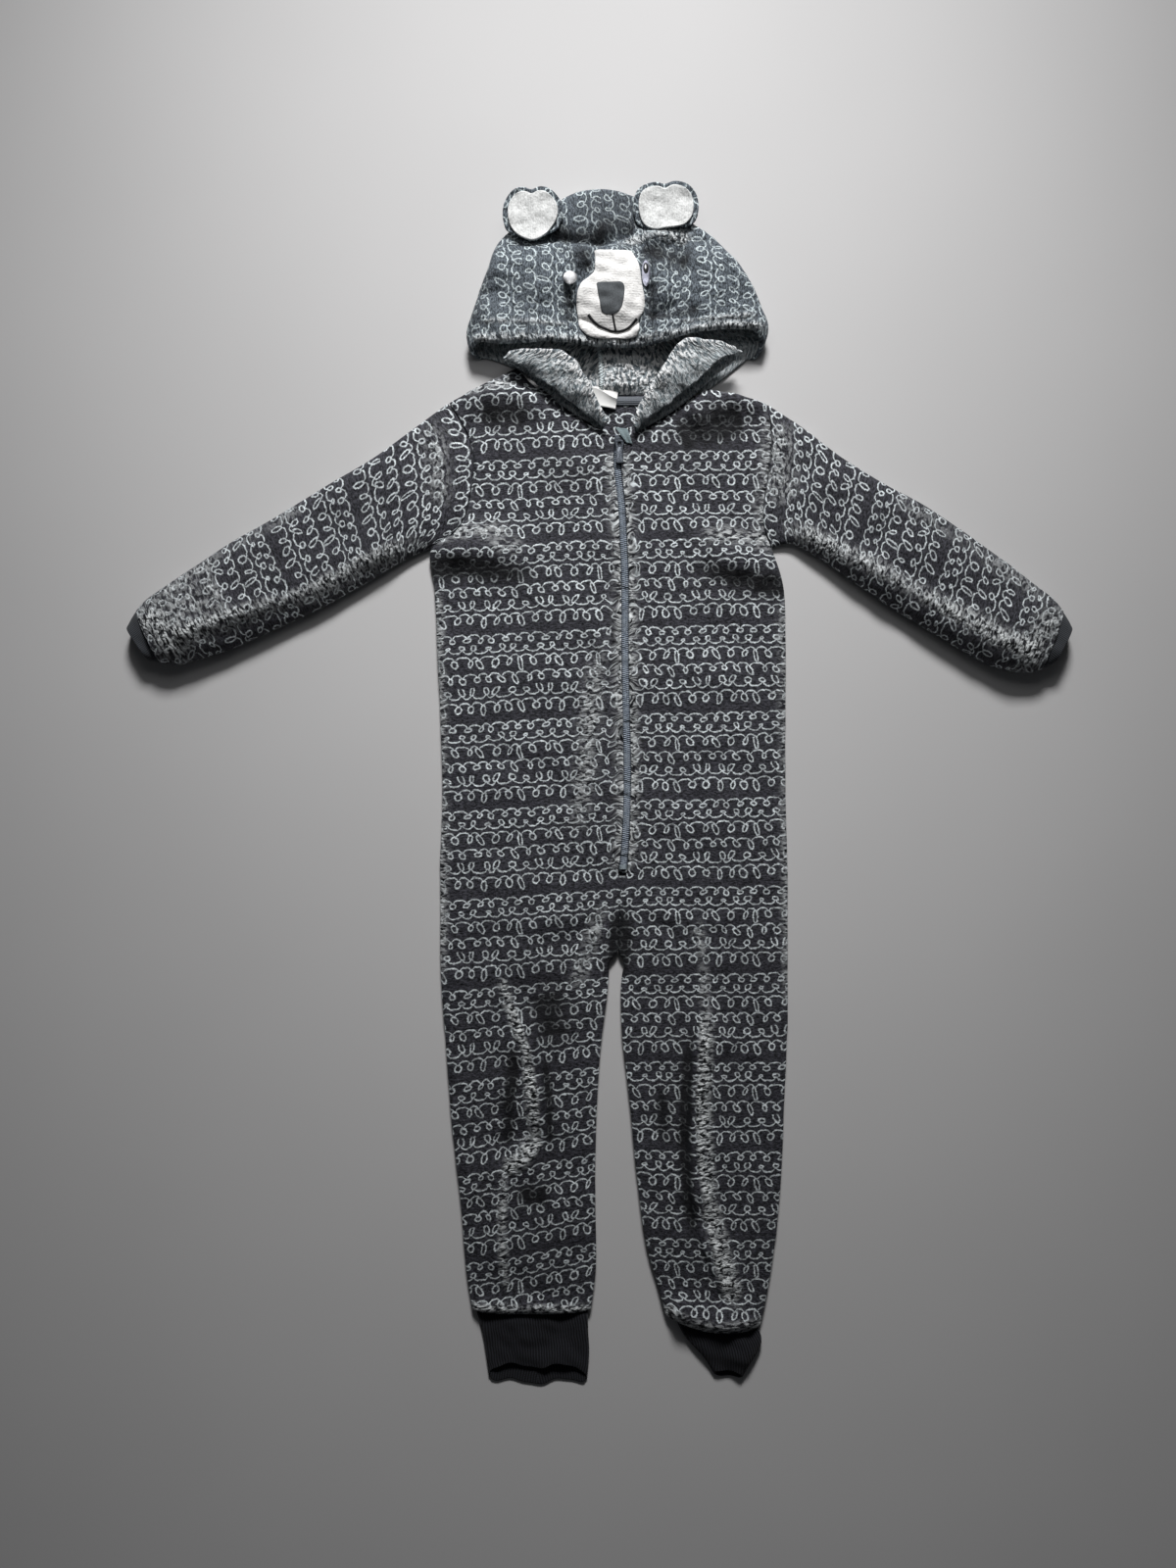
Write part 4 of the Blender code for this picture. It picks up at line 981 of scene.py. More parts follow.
@dataclass(frozen=True)
class Ribbed(Finish):
    """A knit or a woven tape whose ribs run along the cloth's second direction.

    Args:
        pitch: From one rib to the next.
        course: From one row of stitches to the next.
        depth: How deep the grooves are.
        sheen: How much pale bloom its fibres give.
    """

    pitch: float = 2.0
    course: float = 1.1
    depth: float = 0.7
    sheen: float = 0.1

    def mix(self, recipe: Recipe) -> Material:
        """Puts the ribs, their stitches and a little dust of fibres together, with painted shade down in
        the grooves.

        Args:
            recipe: The material, with its shader alone.

        Returns:
            The material.
        """
        add = recipe.add
        place = recipe.cloth_mm()
        sides = add(SPLIT, place).node
        run = add(TIMES_PLUS, add(NOISE, place, 0.12, 1.0), 1.5, sides.outputs[0])
        rib = add(SINE, add(TIMES, run, math.tau / self.pitch))
        stitch = add(SINE, add(TIMES, sides.outputs[1], math.tau / self.course))
        height = add(TIMES_PLUS, stitch, 0.22, rib)
        height = add(TIMES_PLUS, add(NOISE, place, 1.3, 2.0), 0.8, height)
        # painted shade: the colour falls to the darker second colour where the relief is low, in the
        # grooves between the ribs
        shade = add(BLEND, add(RANGE, height, -0.7, 1.3), self.second, self.colour)
        bump = add(BUMP, height, 0.6, self.depth * MM / 2)
        return self.as_cloth(recipe, shade, bump, 0.2, self.sheen)


@dataclass(frozen=True)
class Felted(Finish):
    """Pressed felt or embroidery thread, a tangle of fine fibres with no rows.

    Args:
        grain: The size of its flecks.
        depth: How deep its relief is.
        gloss: How strongly it mirrors a light straight on.
    """

    grain: float = 1.2
    depth: float = 0.25
    gloss: float = 0.2

    def mix(self, recipe: Recipe) -> Material:
        """Puts the flecks and their relief together.

        Args:
            recipe: The material, with its shader alone.

        Returns:
            The material.
        """
        flecks = recipe.add(NOISE, recipe.space_mm(), 1 / self.grain, 3.0)
        shade = recipe.add(BLEND, recipe.add(RANGE, flecks, 0.3, 0.7), self.second, self.colour)
        bump = recipe.add(BUMP, flecks, 0.5, self.depth * MM)
        return self.as_cloth(recipe, shade, bump, self.gloss, 0.08)


@dataclass(frozen=True)
class Painted(Finish):
    """Die-cast zinc with a baked dark finish, which is worn a little brighter on its high spots.

    Args:
        metallic: 1 where the metal shows and 0 where paint covers it.
    """

    metallic: float = 0.6

    def mix(self, recipe: Recipe) -> Material:
        """Puts the colour, its wear and the casting's faint orange peel together.

        Args:
            recipe: The material, with its shader alone.

        Returns:
            The material.
        """
        add = recipe.add
        wear = add(NOISE, recipe.space_mm(), 0.9, 4.0)
        shade = add(BLEND, add(RANGE, wear, 0.45, 0.75), self.colour, self.second)
        rough = add(RANGE, wear, 0.2, 0.8, self.roughness - 0.08, self.roughness + 0.1)
        bump = add(BUMP, wear, 0.3, 0.08 * MM)
        wires = {"Base Color": shade, "Roughness": rough, "Metallic": self.metallic, "Normal": bump}
        return recipe.finished(wires)


@dataclass(frozen=True)
class FloorPaper(Finish):
    """A pale matt studio floor with a faint unevenness."""

    def mix(self, recipe: Recipe) -> Material:
        """Puts the floor's soft clouds together.

        Args:
            recipe: The material, with its shader alone.

        Returns:
            The material.
        """
        clouds = recipe.add(RANGE, recipe.add(NOISE, recipe.space_mm(), 0.004, 2.0), 0.3, 0.7)
        shade = recipe.add(BLEND, clouds, self.colour, self.second)
        return recipe.finished({"Base Color": shade, "Roughness": self.roughness})


PRINT = PrintedFleece("coral_fleece_printed", "printed_fleece", "#09090c", "#52525b", 0.65)
# The body's printed fleece again, with a paler ground painted lighter for the stronger light and sheen on
# the hood: a painted-lit copy of the same cloth
HOOD_PRINT_LIT = PrintedFleece(
    "coral_fleece_hood_painted_lighter", "printed_fleece", "#1e2228", "#818b94", 0.65, worn=0.3, line=1.25, ink="#e4f0f3"
)
# The fleece's reverse is fuzzier and paler than its face, and here its colours, its pale ruffled pile all
# over and the colour between the tufts are painted lighter still, to lift the shade under the brim and on
# the lapels
INSIDE_TUFTS_LIT = {"ruffled": 0.35, "tip": "#ffffff", "root": "#5c646a"}
PRINT_INSIDE_LIT = PrintedFleece(
    "coral_fleece_inside_lit", "printed_fleece", "#555c61", "#c6d5da", 0.65, worn=0.4, line=1.5, **INSIDE_TUFTS_LIT
)
WHITE_PILE = PlainPile("undyed_pile", "white_fleece", "#f7f6f4", "#dbd9d7")
EAR_PILE = PlainPile("undyed_pile_crushed", "white_fleece", "#f1f2f1", "#cbcccb", crushed=1.0)
CUFF_RIB = Ribbed("cotton_rib_dark", "dark_rib", "#2c2d33", "#0a0a0c", pitch=2.4, course=1.2, depth=0.9)
JERSEY = Ribbed("elastic_jersey", "grey_jersey", "#4f5257", "#232528", pitch=1.6, course=1.2, depth=0.4)
FELT_GREY = Felted("pressed_felt", "grey_felt", "#5e6265", "#4a4d50")
TAPE_GREY = Ribbed("herringbone_tape", "grey_tape", "#72767c", "#50545a", pitch=1.4, course=1.4, depth=0.3)
RIBBON = Ribbed("woven_ribbon", "pale_ribbon", "#8b9a9d", "#637074", pitch=1.2, course=2.4, depth=0.2)
LABEL_CLOTH = Ribbed("label_satin", "white_label", "#ffffff", "#f3f1ec", pitch=0.9, course=0.9, depth=0.1)
ZIP_WEAVE = Ribbed("zip_weave", "zip_tape", "#3d424b", "#282c33", pitch=1.3, course=1.3, depth=0.3)
ZIP_COIL = Felted("nylon_coil", "zip_tape", "#b7c1cc", "#808b9a", 0.45, grain=3.0, depth=0.05, gloss=0.5)
ZIP_METAL = Painted("painted_zinc", "dark_metal", "#3b4047", "#6b7078", 0.42)
BLACK_THREAD = Felted("black_thread", "grey_felt", "#1c1c20", "#101013", 0.6, gloss=0.4)
WHITE_THREAD = Felted("white_thread", "white_fleece", "#fafafa", "#e4e4e8", 0.6, gloss=0.4)
LILAC_THREAD = Felted("lilac_thread", "white_fleece", "#e0e1ee", "#c2c3d8", 0.6, gloss=0.4)
OVERLOCK_THREAD = Felted("overlock_thread", "grey_jersey", "#f2f8f8", "#b9c5ca", 0.7)
SEWING_THREAD = Felted("grey_thread", "grey_jersey", "#9aa6ad", "#7d878e", 0.6, gloss=0.4)
FLOOR = FloorPaper("floor_paper", "none", "#cbcaca", "#cecdcd", 0.95)


# ------------ putting pieces in place


def place_piece(piece: Piece, finish: Finish, node: str = "", body: str = GARMENT) -> Piece:
    """Dresses a piece, lets it stand for a CAD node and makes it move with a body.

    Args:
        piece: The piece, already in its place.
        finish: Its finish all over.
        node: The CAD node that it stands for, if any.
        body: The body that it moves with.

    Returns:
        The same piece.
    """
    finish.dress(piece)
    if node:
        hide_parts(node)
    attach(piece, body)
    LOG.info("%s: %d faces, %s", piece.name, len(piece.data.polygons), finish.name)
    return piece


SHARP = {"limit_method": "ANGLE", "angle_limit": math.radians(50)}  # the edges that a bevel rounds


def alone(item: Piece) -> None:
    """Makes an object the only one selected, and the active one."""
    bpy.ops.object.select_all(action="DESELECT")
    item.select_set(True)
    bpy.context.view_layer.objects.active = item


def apply_modifier(item: Piece, kind: str, **settings: Any) -> None:
    """Adds a modifier with its settings and applies it.

    Args:
        item: The object.
        kind: Blender's name for the modifier.
        settings: Its settings.
    """
    bpy.context.view_layer.objects.active = item
    modifier = item.modifiers.new(kind.title(), kind)
    for key, value in settings.items():
        setattr(modifier, key, value)
    bpy.ops.object.modifier_apply(modifier=modifier.name)


@dataclass(frozen=True)
class Cut:
    """The flat size that a piece of cloth is cut to, in metres."""

    wide: float
    long: float


def lay(sheet: Sheet, name: str, finish: Finish, cut: Cut, node: str) -> Piece:
    """Args:
        sheet: Its grid.
        name: Its name.
        finish: Its finish.
        cut: The flat size that it is cut to.
        node: The CAD node that it stands for.

    Returns:
        The piece.
    """
    piece = place_piece(sheet.build(name), finish, node)
    area = min(sheet.area(), cut.wide * cut.long)
    return piece


@dataclass
class Stitches:
    """Runs of thread, each stitch a slim capsule copied from one pattern stitch.

    Args:
        radius: The thread's radius.
    """

    radius: float = 0.3
    centres: list[Array] = field(default_factory=list)
    runs: list[Array] = field(default_factory=list)

    PITCH: ClassVar[float] = 0.42  # from one satin stitch to the next

    def pattern_stitch(self) -> tuple[Array, Array]:
        """The places and triangles of one stitch, of half length and radius 1.

        Returns:
            Its places and its triangles.
        """
        bpy.ops.object.select_all(action="DESELECT")
        bpy.ops.mesh.primitive_ico_sphere_add(subdivisions=1, radius=1.0)
        ball = bpy.context.object
        places = np.array([v.co for v in ball.data.vertices], float)
        faces = np.array([p.vertices for p in ball.data.polygons])
        bpy.data.objects.remove(ball)
        return places, faces

    def add(self, centres: Array, runs: Array) -> None:
        """Adds stitches by their middles and their half lengths as directions."""
        self.centres.append(np.asarray(centres, float))
        self.runs.append(np.asarray(runs, float))

    def satin(self, path: Sequence[Sequence[float]], wide: Sequence[float], height: Any) -> None:
        """Covers a path with stitches laid side by side across it.

        Args:
            path: Places along its middle.
            wide: Its width at each place.
            height: The height of the cloth's face at places in plan.
        """
        track = Track([(x, y, w) for (x, y), w in zip(path, wide)])
        length = distances(track.at(np.linspace(0, 1, 200))[:, :2])[-1]
        rows = track.at(np.linspace(0, 1, max(int(length / self.PITCH), 2)))
        way = np.gradient(rows[:, :2], axis=0)
        way /= np.linalg.norm(way, axis=1, keepdims=True)
        sides = np.stack([-way[:, 1], way[:, 0]], -1) * rows[:, 2:] / 2
        self.add(self._on(rows[:, :2], height), self._lean(rows[:, :2], sides, height))

    def filled(self, middle: Place, half: Sequence[float], pitch: float, height: Any) -> None:
        """Fills an upright oval with stitches laid across it.

        Args:
            middle: Its middle.
            half: Its half width and half length.
            pitch: From one stitch to the next.
            height: The height of the cloth's face at places in plan.
        """
        y = np.arange(-half[1] + pitch / 2, half[1], pitch)
        reach = half[0] * np.sqrt(1 - (y / half[1]) ** 2)
        plan = np.stack([np.full(len(y), middle.x), middle.y + y], -1)
        self.add(self._on(plan, height), self._lean(plan, np.stack([reach, 0 * reach], -1), height))

    def _on(self, plan: Array, height: Any) -> Array:
        """Places on the cloth's face."""
        return np.column_stack([plan, height(plan[:, 0], plan[:, 1]) + self.radius * 0.5])

    def _lean(self, plan: Array, sides: Array, height: Any) -> Array:
        """Half lengths as directions that follow the cloth's slope."""
        up = height(*(plan + sides).T) - height(*(plan - sides).T)
        return np.column_stack([sides, up / 2])

    def build(self, name: str) -> Piece:
        """Copies the pattern stitch to every place.

        Args:
            name: The piece's name.

        Returns:
            All the stitches as one piece.
        """
        places, faces = self.pattern_stitch()
        centres, runs = np.concatenate(self.centres), np.concatenate(self.runs)
        long = np.linalg.norm(runs, axis=1, keepdims=True)
        way = runs / np.maximum(long, 1e-9)
        side = np.cross(way, (0.0, 0.0, 1.0))
        side /= np.maximum(np.linalg.norm(side, axis=1, keepdims=True), 1e-9)
        up = np.cross(side, way)
        shape = (
            places[None, :, :1] * (runs + way * self.radius)[:, None]
            + places[None, :, 1:2] * side[:, None] * self.radius
            + places[None, :, 2:] * up[:, None] * self.radius
        )
        shape = shape + centres[:, None]
        count = len(places)
        all_faces = (faces[None] + np.arange(len(centres))[:, None, None] * count).reshape(-1, 3)
        zero = np.zeros((all_faces.size, 2))
        return mesh_piece(name, shape.reshape(-1, 3), all_faces, zero)


# ------------ body


RIGHT_FOLDS = (
    *listed(
        Crease,
        (((-122, 338), (-98, 341), (-76, 339), (-50, 330)), 9.5, 14, 17, 0.2),
        (((-112, 282), (-88, 285), (-60, 292)), 1.6, 22, 14),
        (((-62.6, -200), (-60, -222), (-56, -250), (-52.5, -280), (-51, -324)), 6.5, 2.8, 17, 0.3),
        (((-56, -318), (-66, -338), (-82, -350)), 3.4, 7, 16, 0.4),
        (((-84, -350), (-85, -400), (-82, -462)), 3, 4, 12),
        (((-176, 199), (-150, 201), (-112, 203), (-76, 199), (-44, 198)), 9, 20, 13, 0.4),
        (((-8, 135), (6, 108), (4, 85)), 2.4, 5, 5), (((-110, 20), (-60, 10), (-20, 14)), -1.4, 14, 12),
        (((-120, 80), (-70, 92), (-20, 84)), 1.5, 16, 14),
        (((-125, -120), (-60, -128), (8, -116)), 2.4, 8, 9),
        (((-60, -160), (-20, -140), (8, -118)), -2.4, 8, 7),
        (((-112, -470), (-85, -473), (-60, -471), (-35, -473), (-10, -470)), 3.4, 9, 4, 0.1),
    ),
    Ripples(0.7, 75, 11),
    Ripples(0.35, 24, 12),
)
LEFT_FOLDS = (
    *listed(
        Crease,
        (((150, 338), (124, 341), (100, 335), (74, 321)), 11, 21, 14, 0.2),
        (((122, 277), (98, 276), (66, 282)), 1.6, 14, 22),
        (((90, -215), (86, -251), (83, -285), (82.5, -324), (84.5, -366), (89, -400)), 7.5, 17, 2.6, 0.2),
        (((88, -398), (101, -430), (112, -460)), 4.5, 17, 4, 0.2),
        (((77, -309), (76, -350), (78, -381), (90, -420)), -1.8, 3, 7),
        (((192, 181), (168, 183), (145, 187), (122, 193), (98, 199), (76, 203)), 8.5, 13, 20, 0.4),
        (((120, 15), (80, 8), (42, 14)), -1.4, 14, 12), (((135, 82), (90, 92), (45, 86)), 1.5, 14, 16),
        (((130, -118), (90, -128), (34, -116)), 2, 8, 9),
        (((30, -118), (60, -135), (85, -160)), -2.2, 7, 8),
        (((62, -470), (80, -479), (100, -484), (125, -484), (143, -479)), 8, 15, 6, 0.1),
    ),
    Ripples(0.7, 75, 21),
    Ripples(0.35, 24, 22),
)
# How the pile lies: up to 1 it is ruffled through, with a pale painted highlight, and below 0, down to -1,
# is painted shade in the hollows, the folds and the gap at the crotch
RIGHT_NAP_AND_SHADE = listed(
    Crease,
    (((-88, -170), (-78, -205), (-64, -240), (-58, -285), (-55, -326)), 1.7, 3.5, 6.5, 0.25),
    (((-72, -140), (-70, -300), (-62, -470)), -0.2, 70, 70, 0.05),
    (((-55, -322), (-68, -340), (-84, -350)), 1.4, 6, 9, 0.1),
    (((-74, -236), (-80, -285), (-82, -330)), -1.1, 6, 6, 0.2),
    (((-49, -250), (-45, -290), (-44, -330)), -1.1, 4, 4, 0.2),
    (((-84, -345), (-86, -400), (-83, -465)), 0.9, 4, 5),
    (((-122, -471), (-60, -472), (-6, -473)), 0.9, 4, 4, 0.02),
    (((-20, -50), (-12, 10), (-8, 70), (4, 120)), 0.6, 8, 8),
    (((-146, 170), (-142, 60), (-140, -60), (-141, -180)), 0.6, 5, 5, 0.05),
    (((8, -110), (-10, -150), (-30, -200)), 0.5, 10, 8),
    (((-140, 330), (-124, 290), (-126, 240), (-146, 200)), 0.4, 7, 7),
    (((-122, 346), (-98, 351), (-74, 352)), 0.7, 6, 6),
    (((-106, 325), (-84, 324), (-64, 321)), -1, 11, 11, 0.1),
    (((-176, 188), (-150, 188), (-118, 189), (-82, 183), (-54, 181)), -1.4, 9, 10, 0.3),
    (((-146, 217), (-110, 221), (-76, 216)), 0.6, 7, 7), (((-100, 203), (-66, 206)), 0.4, 7, 7),
    (((-48, -190), (-40, -230)), -0.9, 18, 16, 0.1), (((-64, 284), (-34, 277), (-4, 270)), -0.35, 14, 14),
    (((-67, -369), (-53, -371)), -1, 8, 8, 0), (((17, -127), (16, -150), (14, -168)), -1.6, 8, 8, 0),
)
LEFT_NAP_AND_SHADE = listed(
    Crease,
    (((94, -205), (91, -251), (89, -285), (91, -340), (97, -388)), 1.8, 8.5, 4, 0.2),
    (((95, -140), (98, -300), (104, -470)), -0.2, 70, 70, 0.05),
    (((96, -380), (107, -425), (118, -466)), 1.5, 10, 6, 0.1),
    (((86, -120), (92, -160), (94, -215)), 0.6, 8, 7),
    (((60, -474), (80, -484), (100, -488), (125, -488), (148, -486)), 1, 6, 6, 0.02),
    (((150, 330), (153, 290), (147, 240), (152, 200)), 0.5, 8, 8),
    (((165, 160), (166, 60), (167, -60), (168, -200)), 0.5, 5, 5, 0.05),
    (((150, 345), (124, 350), (100, 346)), 0.7, 6, 6),
    (((128, 320), (98, 314), (70, 304)), -1.3, 16, 15, 0.1),
    (((190, 168), (168, 171), (145, 174), (124, 178), (100, 186), (82, 190)), -1.3, 10, 9, 0.3),
    (((162, 206), (140, 212), (110, 217), (88, 217)), 0.6, 7, 7),
    (((81, -232), (78, -280), (76.5, -326), (79, -372), (84, -406)), -1.7, 4.5, 5, 0.15),
    (((56, -270), (57, -300), (58, -330)), -0.8, 6, 6),
    (((20, -127), (20, -150), (18, -168)), -1.6, 8, 8, 0),
)


@dataclass
class Front:
    """One half of the front, from the shoulder to the hem.

    Args:
        side: The wearer's side that it is on.
        rows: Its table.
        folds: The creases and ripples that it lies in.
        nap_and_shade: How its pile lies, with painted highlight where ruffled and painted shade in its
            hollows and folds.
        down_steps: Rows of its mesh.
        inward_steps: Columns of its mesh.
        lip: How far its edge laps in over the zip.
    """

    side: Side
    rows: tuple[BodyRow, ...]
    folds: tuple[Crease | Ripples, ...]
    nap_and_shade: tuple[Crease, ...] = ()
    down_steps: int = 360
    inward_steps: int = 116
    lip: float = 1.6

    ZIP_X: ClassVar[float] = 22.0
    SEAM_DIP: ClassVar[float] = 0.6  # how far the outer seam pulls the cloth down
    SEAM_REACH: ClassVar[float] = 2.6  # how far in from the edge that shows
    ZIP_NAP: ClassVar[float] = 0.85  # how ruffled the pile is beside the zip, and so how much pale painted highlight it gets
    ZIP_NAP_REACH: ClassVar[float] = 6.0

    def __post_init__(self) -> None:
        """Measures the table."""
        self.track = Track(self.rows)

    def share_of_row(self, row: int) -> float:
        """How far down the half one of its table's rows lies, from 0 to 1."""
        return float(self.track.shares[row])

    def middle(self, down: Array, inward: Array, extra: float | Array = 0.0) -> Array:
        """Places in the middle of the wall.

        Args:
            down: Shares down the half.
            inward: Shares from its outer edge to its inner one.
            extra: How far each place is moved on inward.

        Returns:
            Rows of down by columns of inward, of places.
        """
        rows = self.track.at(np.atleast_1d(down))[:, None]
        inward = np.atleast_1d(inward)[None, :]
        outer, inner = rows[..., 0:2], rows[..., 2:4]
        lift, inner_lift, bow = rows[..., 4], rows[..., 5], rows[..., 6]
        wide = np.linalg.norm(inner - outer, axis=-1)
        plan = outer + (inner - outer) * (inward + extra / wide)[..., None]
        sag = np.maximum(np.sin(np.pi * np.minimum(inward, 1.0)), 0.0) ** 0.7
        x, y = plan[..., 0], plan[..., 1] + bow * sag
        from_side = rolled(inward * wide, EDGE_ROLL)
        from_inner = rolled((1 - inward) * wide, EDGE_ROLL)
        high = lift * from_side
        high = np.where(inward > 0.5, inner_lift + (high - inner_lift) * from_inner, high)
        folds = relief(self.folds, x, y) * from_side * rolled((1 - inward) * wide, 1.3 * EDGE_ROLL)
        folds = folds * rolled(np.atleast_1d(down)[:, None], SHOULDER_ROLL)
        return np.stack([x, y, FRONT_MID + high + folds + self._puckers(x, y, (1 - inward) * wide)], -1)

    def _puckers(self, x: Array, y: Array, from_zip: Array) -> Array:
        """The gathers that sewing the zip leaves beside it.

        Args:
            x: The places' first coordinate.
            y: Their second.
            from_zip: How far each place is from the zip.

        Returns:
            A height for each place.
        """
        beside = eased(y, -95, -70) * (1 - eased(y, 285, 300)) * np.exp(-((from_zip / 11) ** 2))
        phase = y * math.tau / 17 + 1.4 * np.sin(y * math.tau / 61 + self.side.value)
        lip = 0.9 * np.exp(-(((from_zip - 4.5) / 3.2) ** 2))
        return (0.75 * np.sin(phase) + 0.3 * np.sin(2.3 * phase) + lip) * beside

    def pattern(self, points: Array) -> Array:
        """Where each place is on the print, whose rows climb a little towards the zip.

        Args:
            points: Places on the half.

        Returns:
            Their places on the print.
        """
        x, y = points[..., 0], points[..., 1]
        if self.side is Side.RIGHT:
            slope = math.tan(math.radians(3.5)) + 0.115 * eased(-y, 60, 420)
        else:
            slope = 0.02 - 0.05 * eased(-y, 150, 420)
        crumple = np.exp(-(((x - self.ZIP_X) / 16) ** 2)) * eased(y, -110, -70)
        shift = Ripples(2.2, 17, 5 + self.side.value).at(x, y) * crumple
        across_shift = Ripples(1.6, 14, 8 + self.side.value).at(x, y) * crumple
        return np.stack([x + across_shift, y - slope * (x - self.ZIP_X) + shift], -1)

    def build(self) -> Piece:
        """Makes the half, with its outer edge brought down to its seam with the back.

        Returns:
            The piece.
        """
        inward = np.linspace(0, 1, self.inward_steps)
        edge = self.middle(np.linspace(0, 1, self.down_steps), np.array([1.0]))
        x, y = edge[..., 0], edge[..., 1]
        beside_zip = eased(y, -84, -74) * (1 - eased(y, 284, 294))
        sewn = eased(-y, 122, 130) * (1 - eased(-y, 153, 166))
        extra = self.lip * beside_zip + (np.abs(along(INSEAM, y) - x) - SEAM) * sewn
        points = self.middle(np.linspace(0, 1, self.down_steps), inward, extra * inward**4)
        outer = distances(points[..., :2], 1)
        points[..., 2] -= self.SEAM_DIP * np.exp(-((outer / self.SEAM_REACH) ** 2))
        nap_and_shade = relief(self.nap_and_shade, points[..., 0], points[..., 1])
        nap_and_shade += self.ZIP_NAP * beside_zip * np.exp(-(((outer[:, -1:] - outer) / self.ZIP_NAP_REACH) ** 2))
        name = f"front_{self.side.word}"
        sheet = Sheet(points, self.pattern(points), FLEECE, nap_and_shade=nap_and_shade)
        return lay(sheet, f"fleece_{name}", PRINT, Cut(0.19, 0.87), name)


@dataclass
class Back:
    """The back in one piece, flat on the floor, with the edges of its wall rounded.

    Args:
        bevel: The radius of its edges.
    """

    bevel: float = 1.1

    def build(self) -> Piece:
        """Copies the CAD back, merges it and rounds its rim.

        Returns:
            The piece.
        """
        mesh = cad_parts["back"].data.copy()
        piece = bpy.data.objects.new("back_cloth", mesh)
        bpy.context.scene.collection.objects.link(piece)
        shape = bmesh.new()
        shape.from_mesh(mesh)
        bmesh.ops.remove_doubles(shape, verts=shape.verts, dist=1e-6)
        shape.to_mesh(mesh)
        shape.free()
        mesh.materials.clear()
        alone(piece)
        apply_modifier(piece, "BEVEL", width=self.bevel * MM, segments=3, **SHARP)
        mesh = piece.data
        for layer in list(mesh.uv_layers):
            mesh.uv_layers.remove(layer)
        layer = mesh.uv_layers.new(name="cloth")
        places = np.zeros(len(mesh.vertices) * 3)
        mesh.vertices.foreach_get("co", places)
        corners = np.zeros(len(mesh.loops), np.int32)
        mesh.loops.foreach_get("vertex_index", corners)
        layer.data.foreach_set("uv", places.reshape(-1, 3)[corners, :2].astype(np.float32).ravel())
        mesh.shade_smooth()
        place_piece(piece, PRINT, "back")
        return piece


# ------------ sleeves and cuffs


@dataclass
class Tube:
    """A flattened tube of cloth, such as a sleeve or a cuff.

    Args:
        name: The piece's name, which is its CAD node's.
        rows: Its table.
        wall: Its cloth's thickness.
        finish: Its finish.
        cut: The flat size that it is cut to.
        rings: Rings of its mesh.
        around: Columns of its mesh.
        folds: The creases and ripples of its upper layer.
        nap_and_shade: How its pile lies, with painted highlight where ruffled and painted shade where below
            0.
        armhole: The edge that its first rings follow.
        ragged: How uneven its far end is.
    """

    name: str
    rows: tuple[TubeRow, ...]
    wall: float
    finish: Finish
    cut: Cut
    rings: int
    around: int
    folds: tuple[Crease | Ripples, ...] = ()
    nap_and_shade: tuple[Crease, ...] = ()
    armhole: tuple[Place, ...] = ()
    ragged: float = 0.0

    GAP: ClassVar[float] = 0.1
    FADE: ClassVar[float] = 0.22

    def points(self) -> Array:
        """The rings' places, each ring from the middle of its underside round to it again.

        Returns:
            Rings by columns of places.
        """
        shares = np.linspace(0, 1, self.rings)
        rows = Track(self.rows).at(shares)[:, None]
        angle = np.linspace(-0.5 * math.pi, 1.5 * math.pi, self.around + 1)[None, :]
        upper, lower = rows[..., 0:2], rows[..., 2:4]
        drop, rise, tilt, bow = (rows[..., i] for i in (4, 5, 6, 7))
        inset = (lower - upper) / np.linalg.norm(lower - upper, axis=-1, keepdims=True) * self.wall / 2
        upper, lower = upper + inset, lower - inset
        share = 0.5 - 0.5 * np.sign(np.cos(angle)) * np.abs(np.cos(angle)) ** 0.85
        swing = np.sin(angle)
        middle = self.wall / 2 + drop + self.GAP
        top = middle + rise * np.maximum(swing, 0) ** 0.75
        bottom = middle - drop * np.minimum(1.0, np.maximum(-1.8 * swing, 0) ** 0.6)
        height = np.where(swing >= 0, top, bottom)
        plan = upper + (lower - upper) * share[..., None]
        x, y = plan[..., 0], plan[..., 1]
        y = y + bow * np.sin(math.pi * share) ** 0.7
        y = y + tilt * (height - self.wall / 2 - drop) / (drop + rise)
        if self.armhole:
            edge = Track(self.armhole)
            straight = edge.rows[0] + (edge.rows[-1] - edge.rows[0]) * share[..., None]
            bend = edge.at(share.ravel()).reshape(*share.shape, 2) - straight
            fade = np.maximum(1 - shares / self.FADE, 0)[:, None] ** 1.5
            x, y = x + bend[..., 0] * fade, y + bend[..., 1] * fade
        if self.ragged:
            end = eased(shares, 0.6, 1.0)[:, None]
            y = y + Ripples(self.ragged, 30, 31).at(x, y * 0.1) * end
        rounded = np.maximum(swing, 0) ** 0.6
        height = height + relief(self.folds, x, y) * rounded * eased(shares, -0.02, 0.1)[:, None]
        return np.stack([x, y, np.maximum(height, self.wall / 2 + 0.05)], -1)

    def pattern(self, points: Array) -> Array:
        """Where each place is on the cloth, measured round the tube and along it."""
        girth = distances(points, 1)
        down = distances(points.mean(axis=1))[:, None]
        return np.stack([girth - girth[:, -1:] / 2, np.broadcast_to(-down, girth.shape)], -1)

    def build(self) -> Piece:
        """Makes the tube and puts it in place.

        Returns:
            The piece.
        """
        points = self.points()
        nap_and_shade = relief(self.nap_and_shade, points[..., 0], points[..., 1])
        sheet = Sheet(points, self.pattern(points), self.wall, ring=True, nap_and_shade=nap_and_shade)
        return lay(sheet, f"cloth_{self.name}", self.finish, self.cut, self.name)


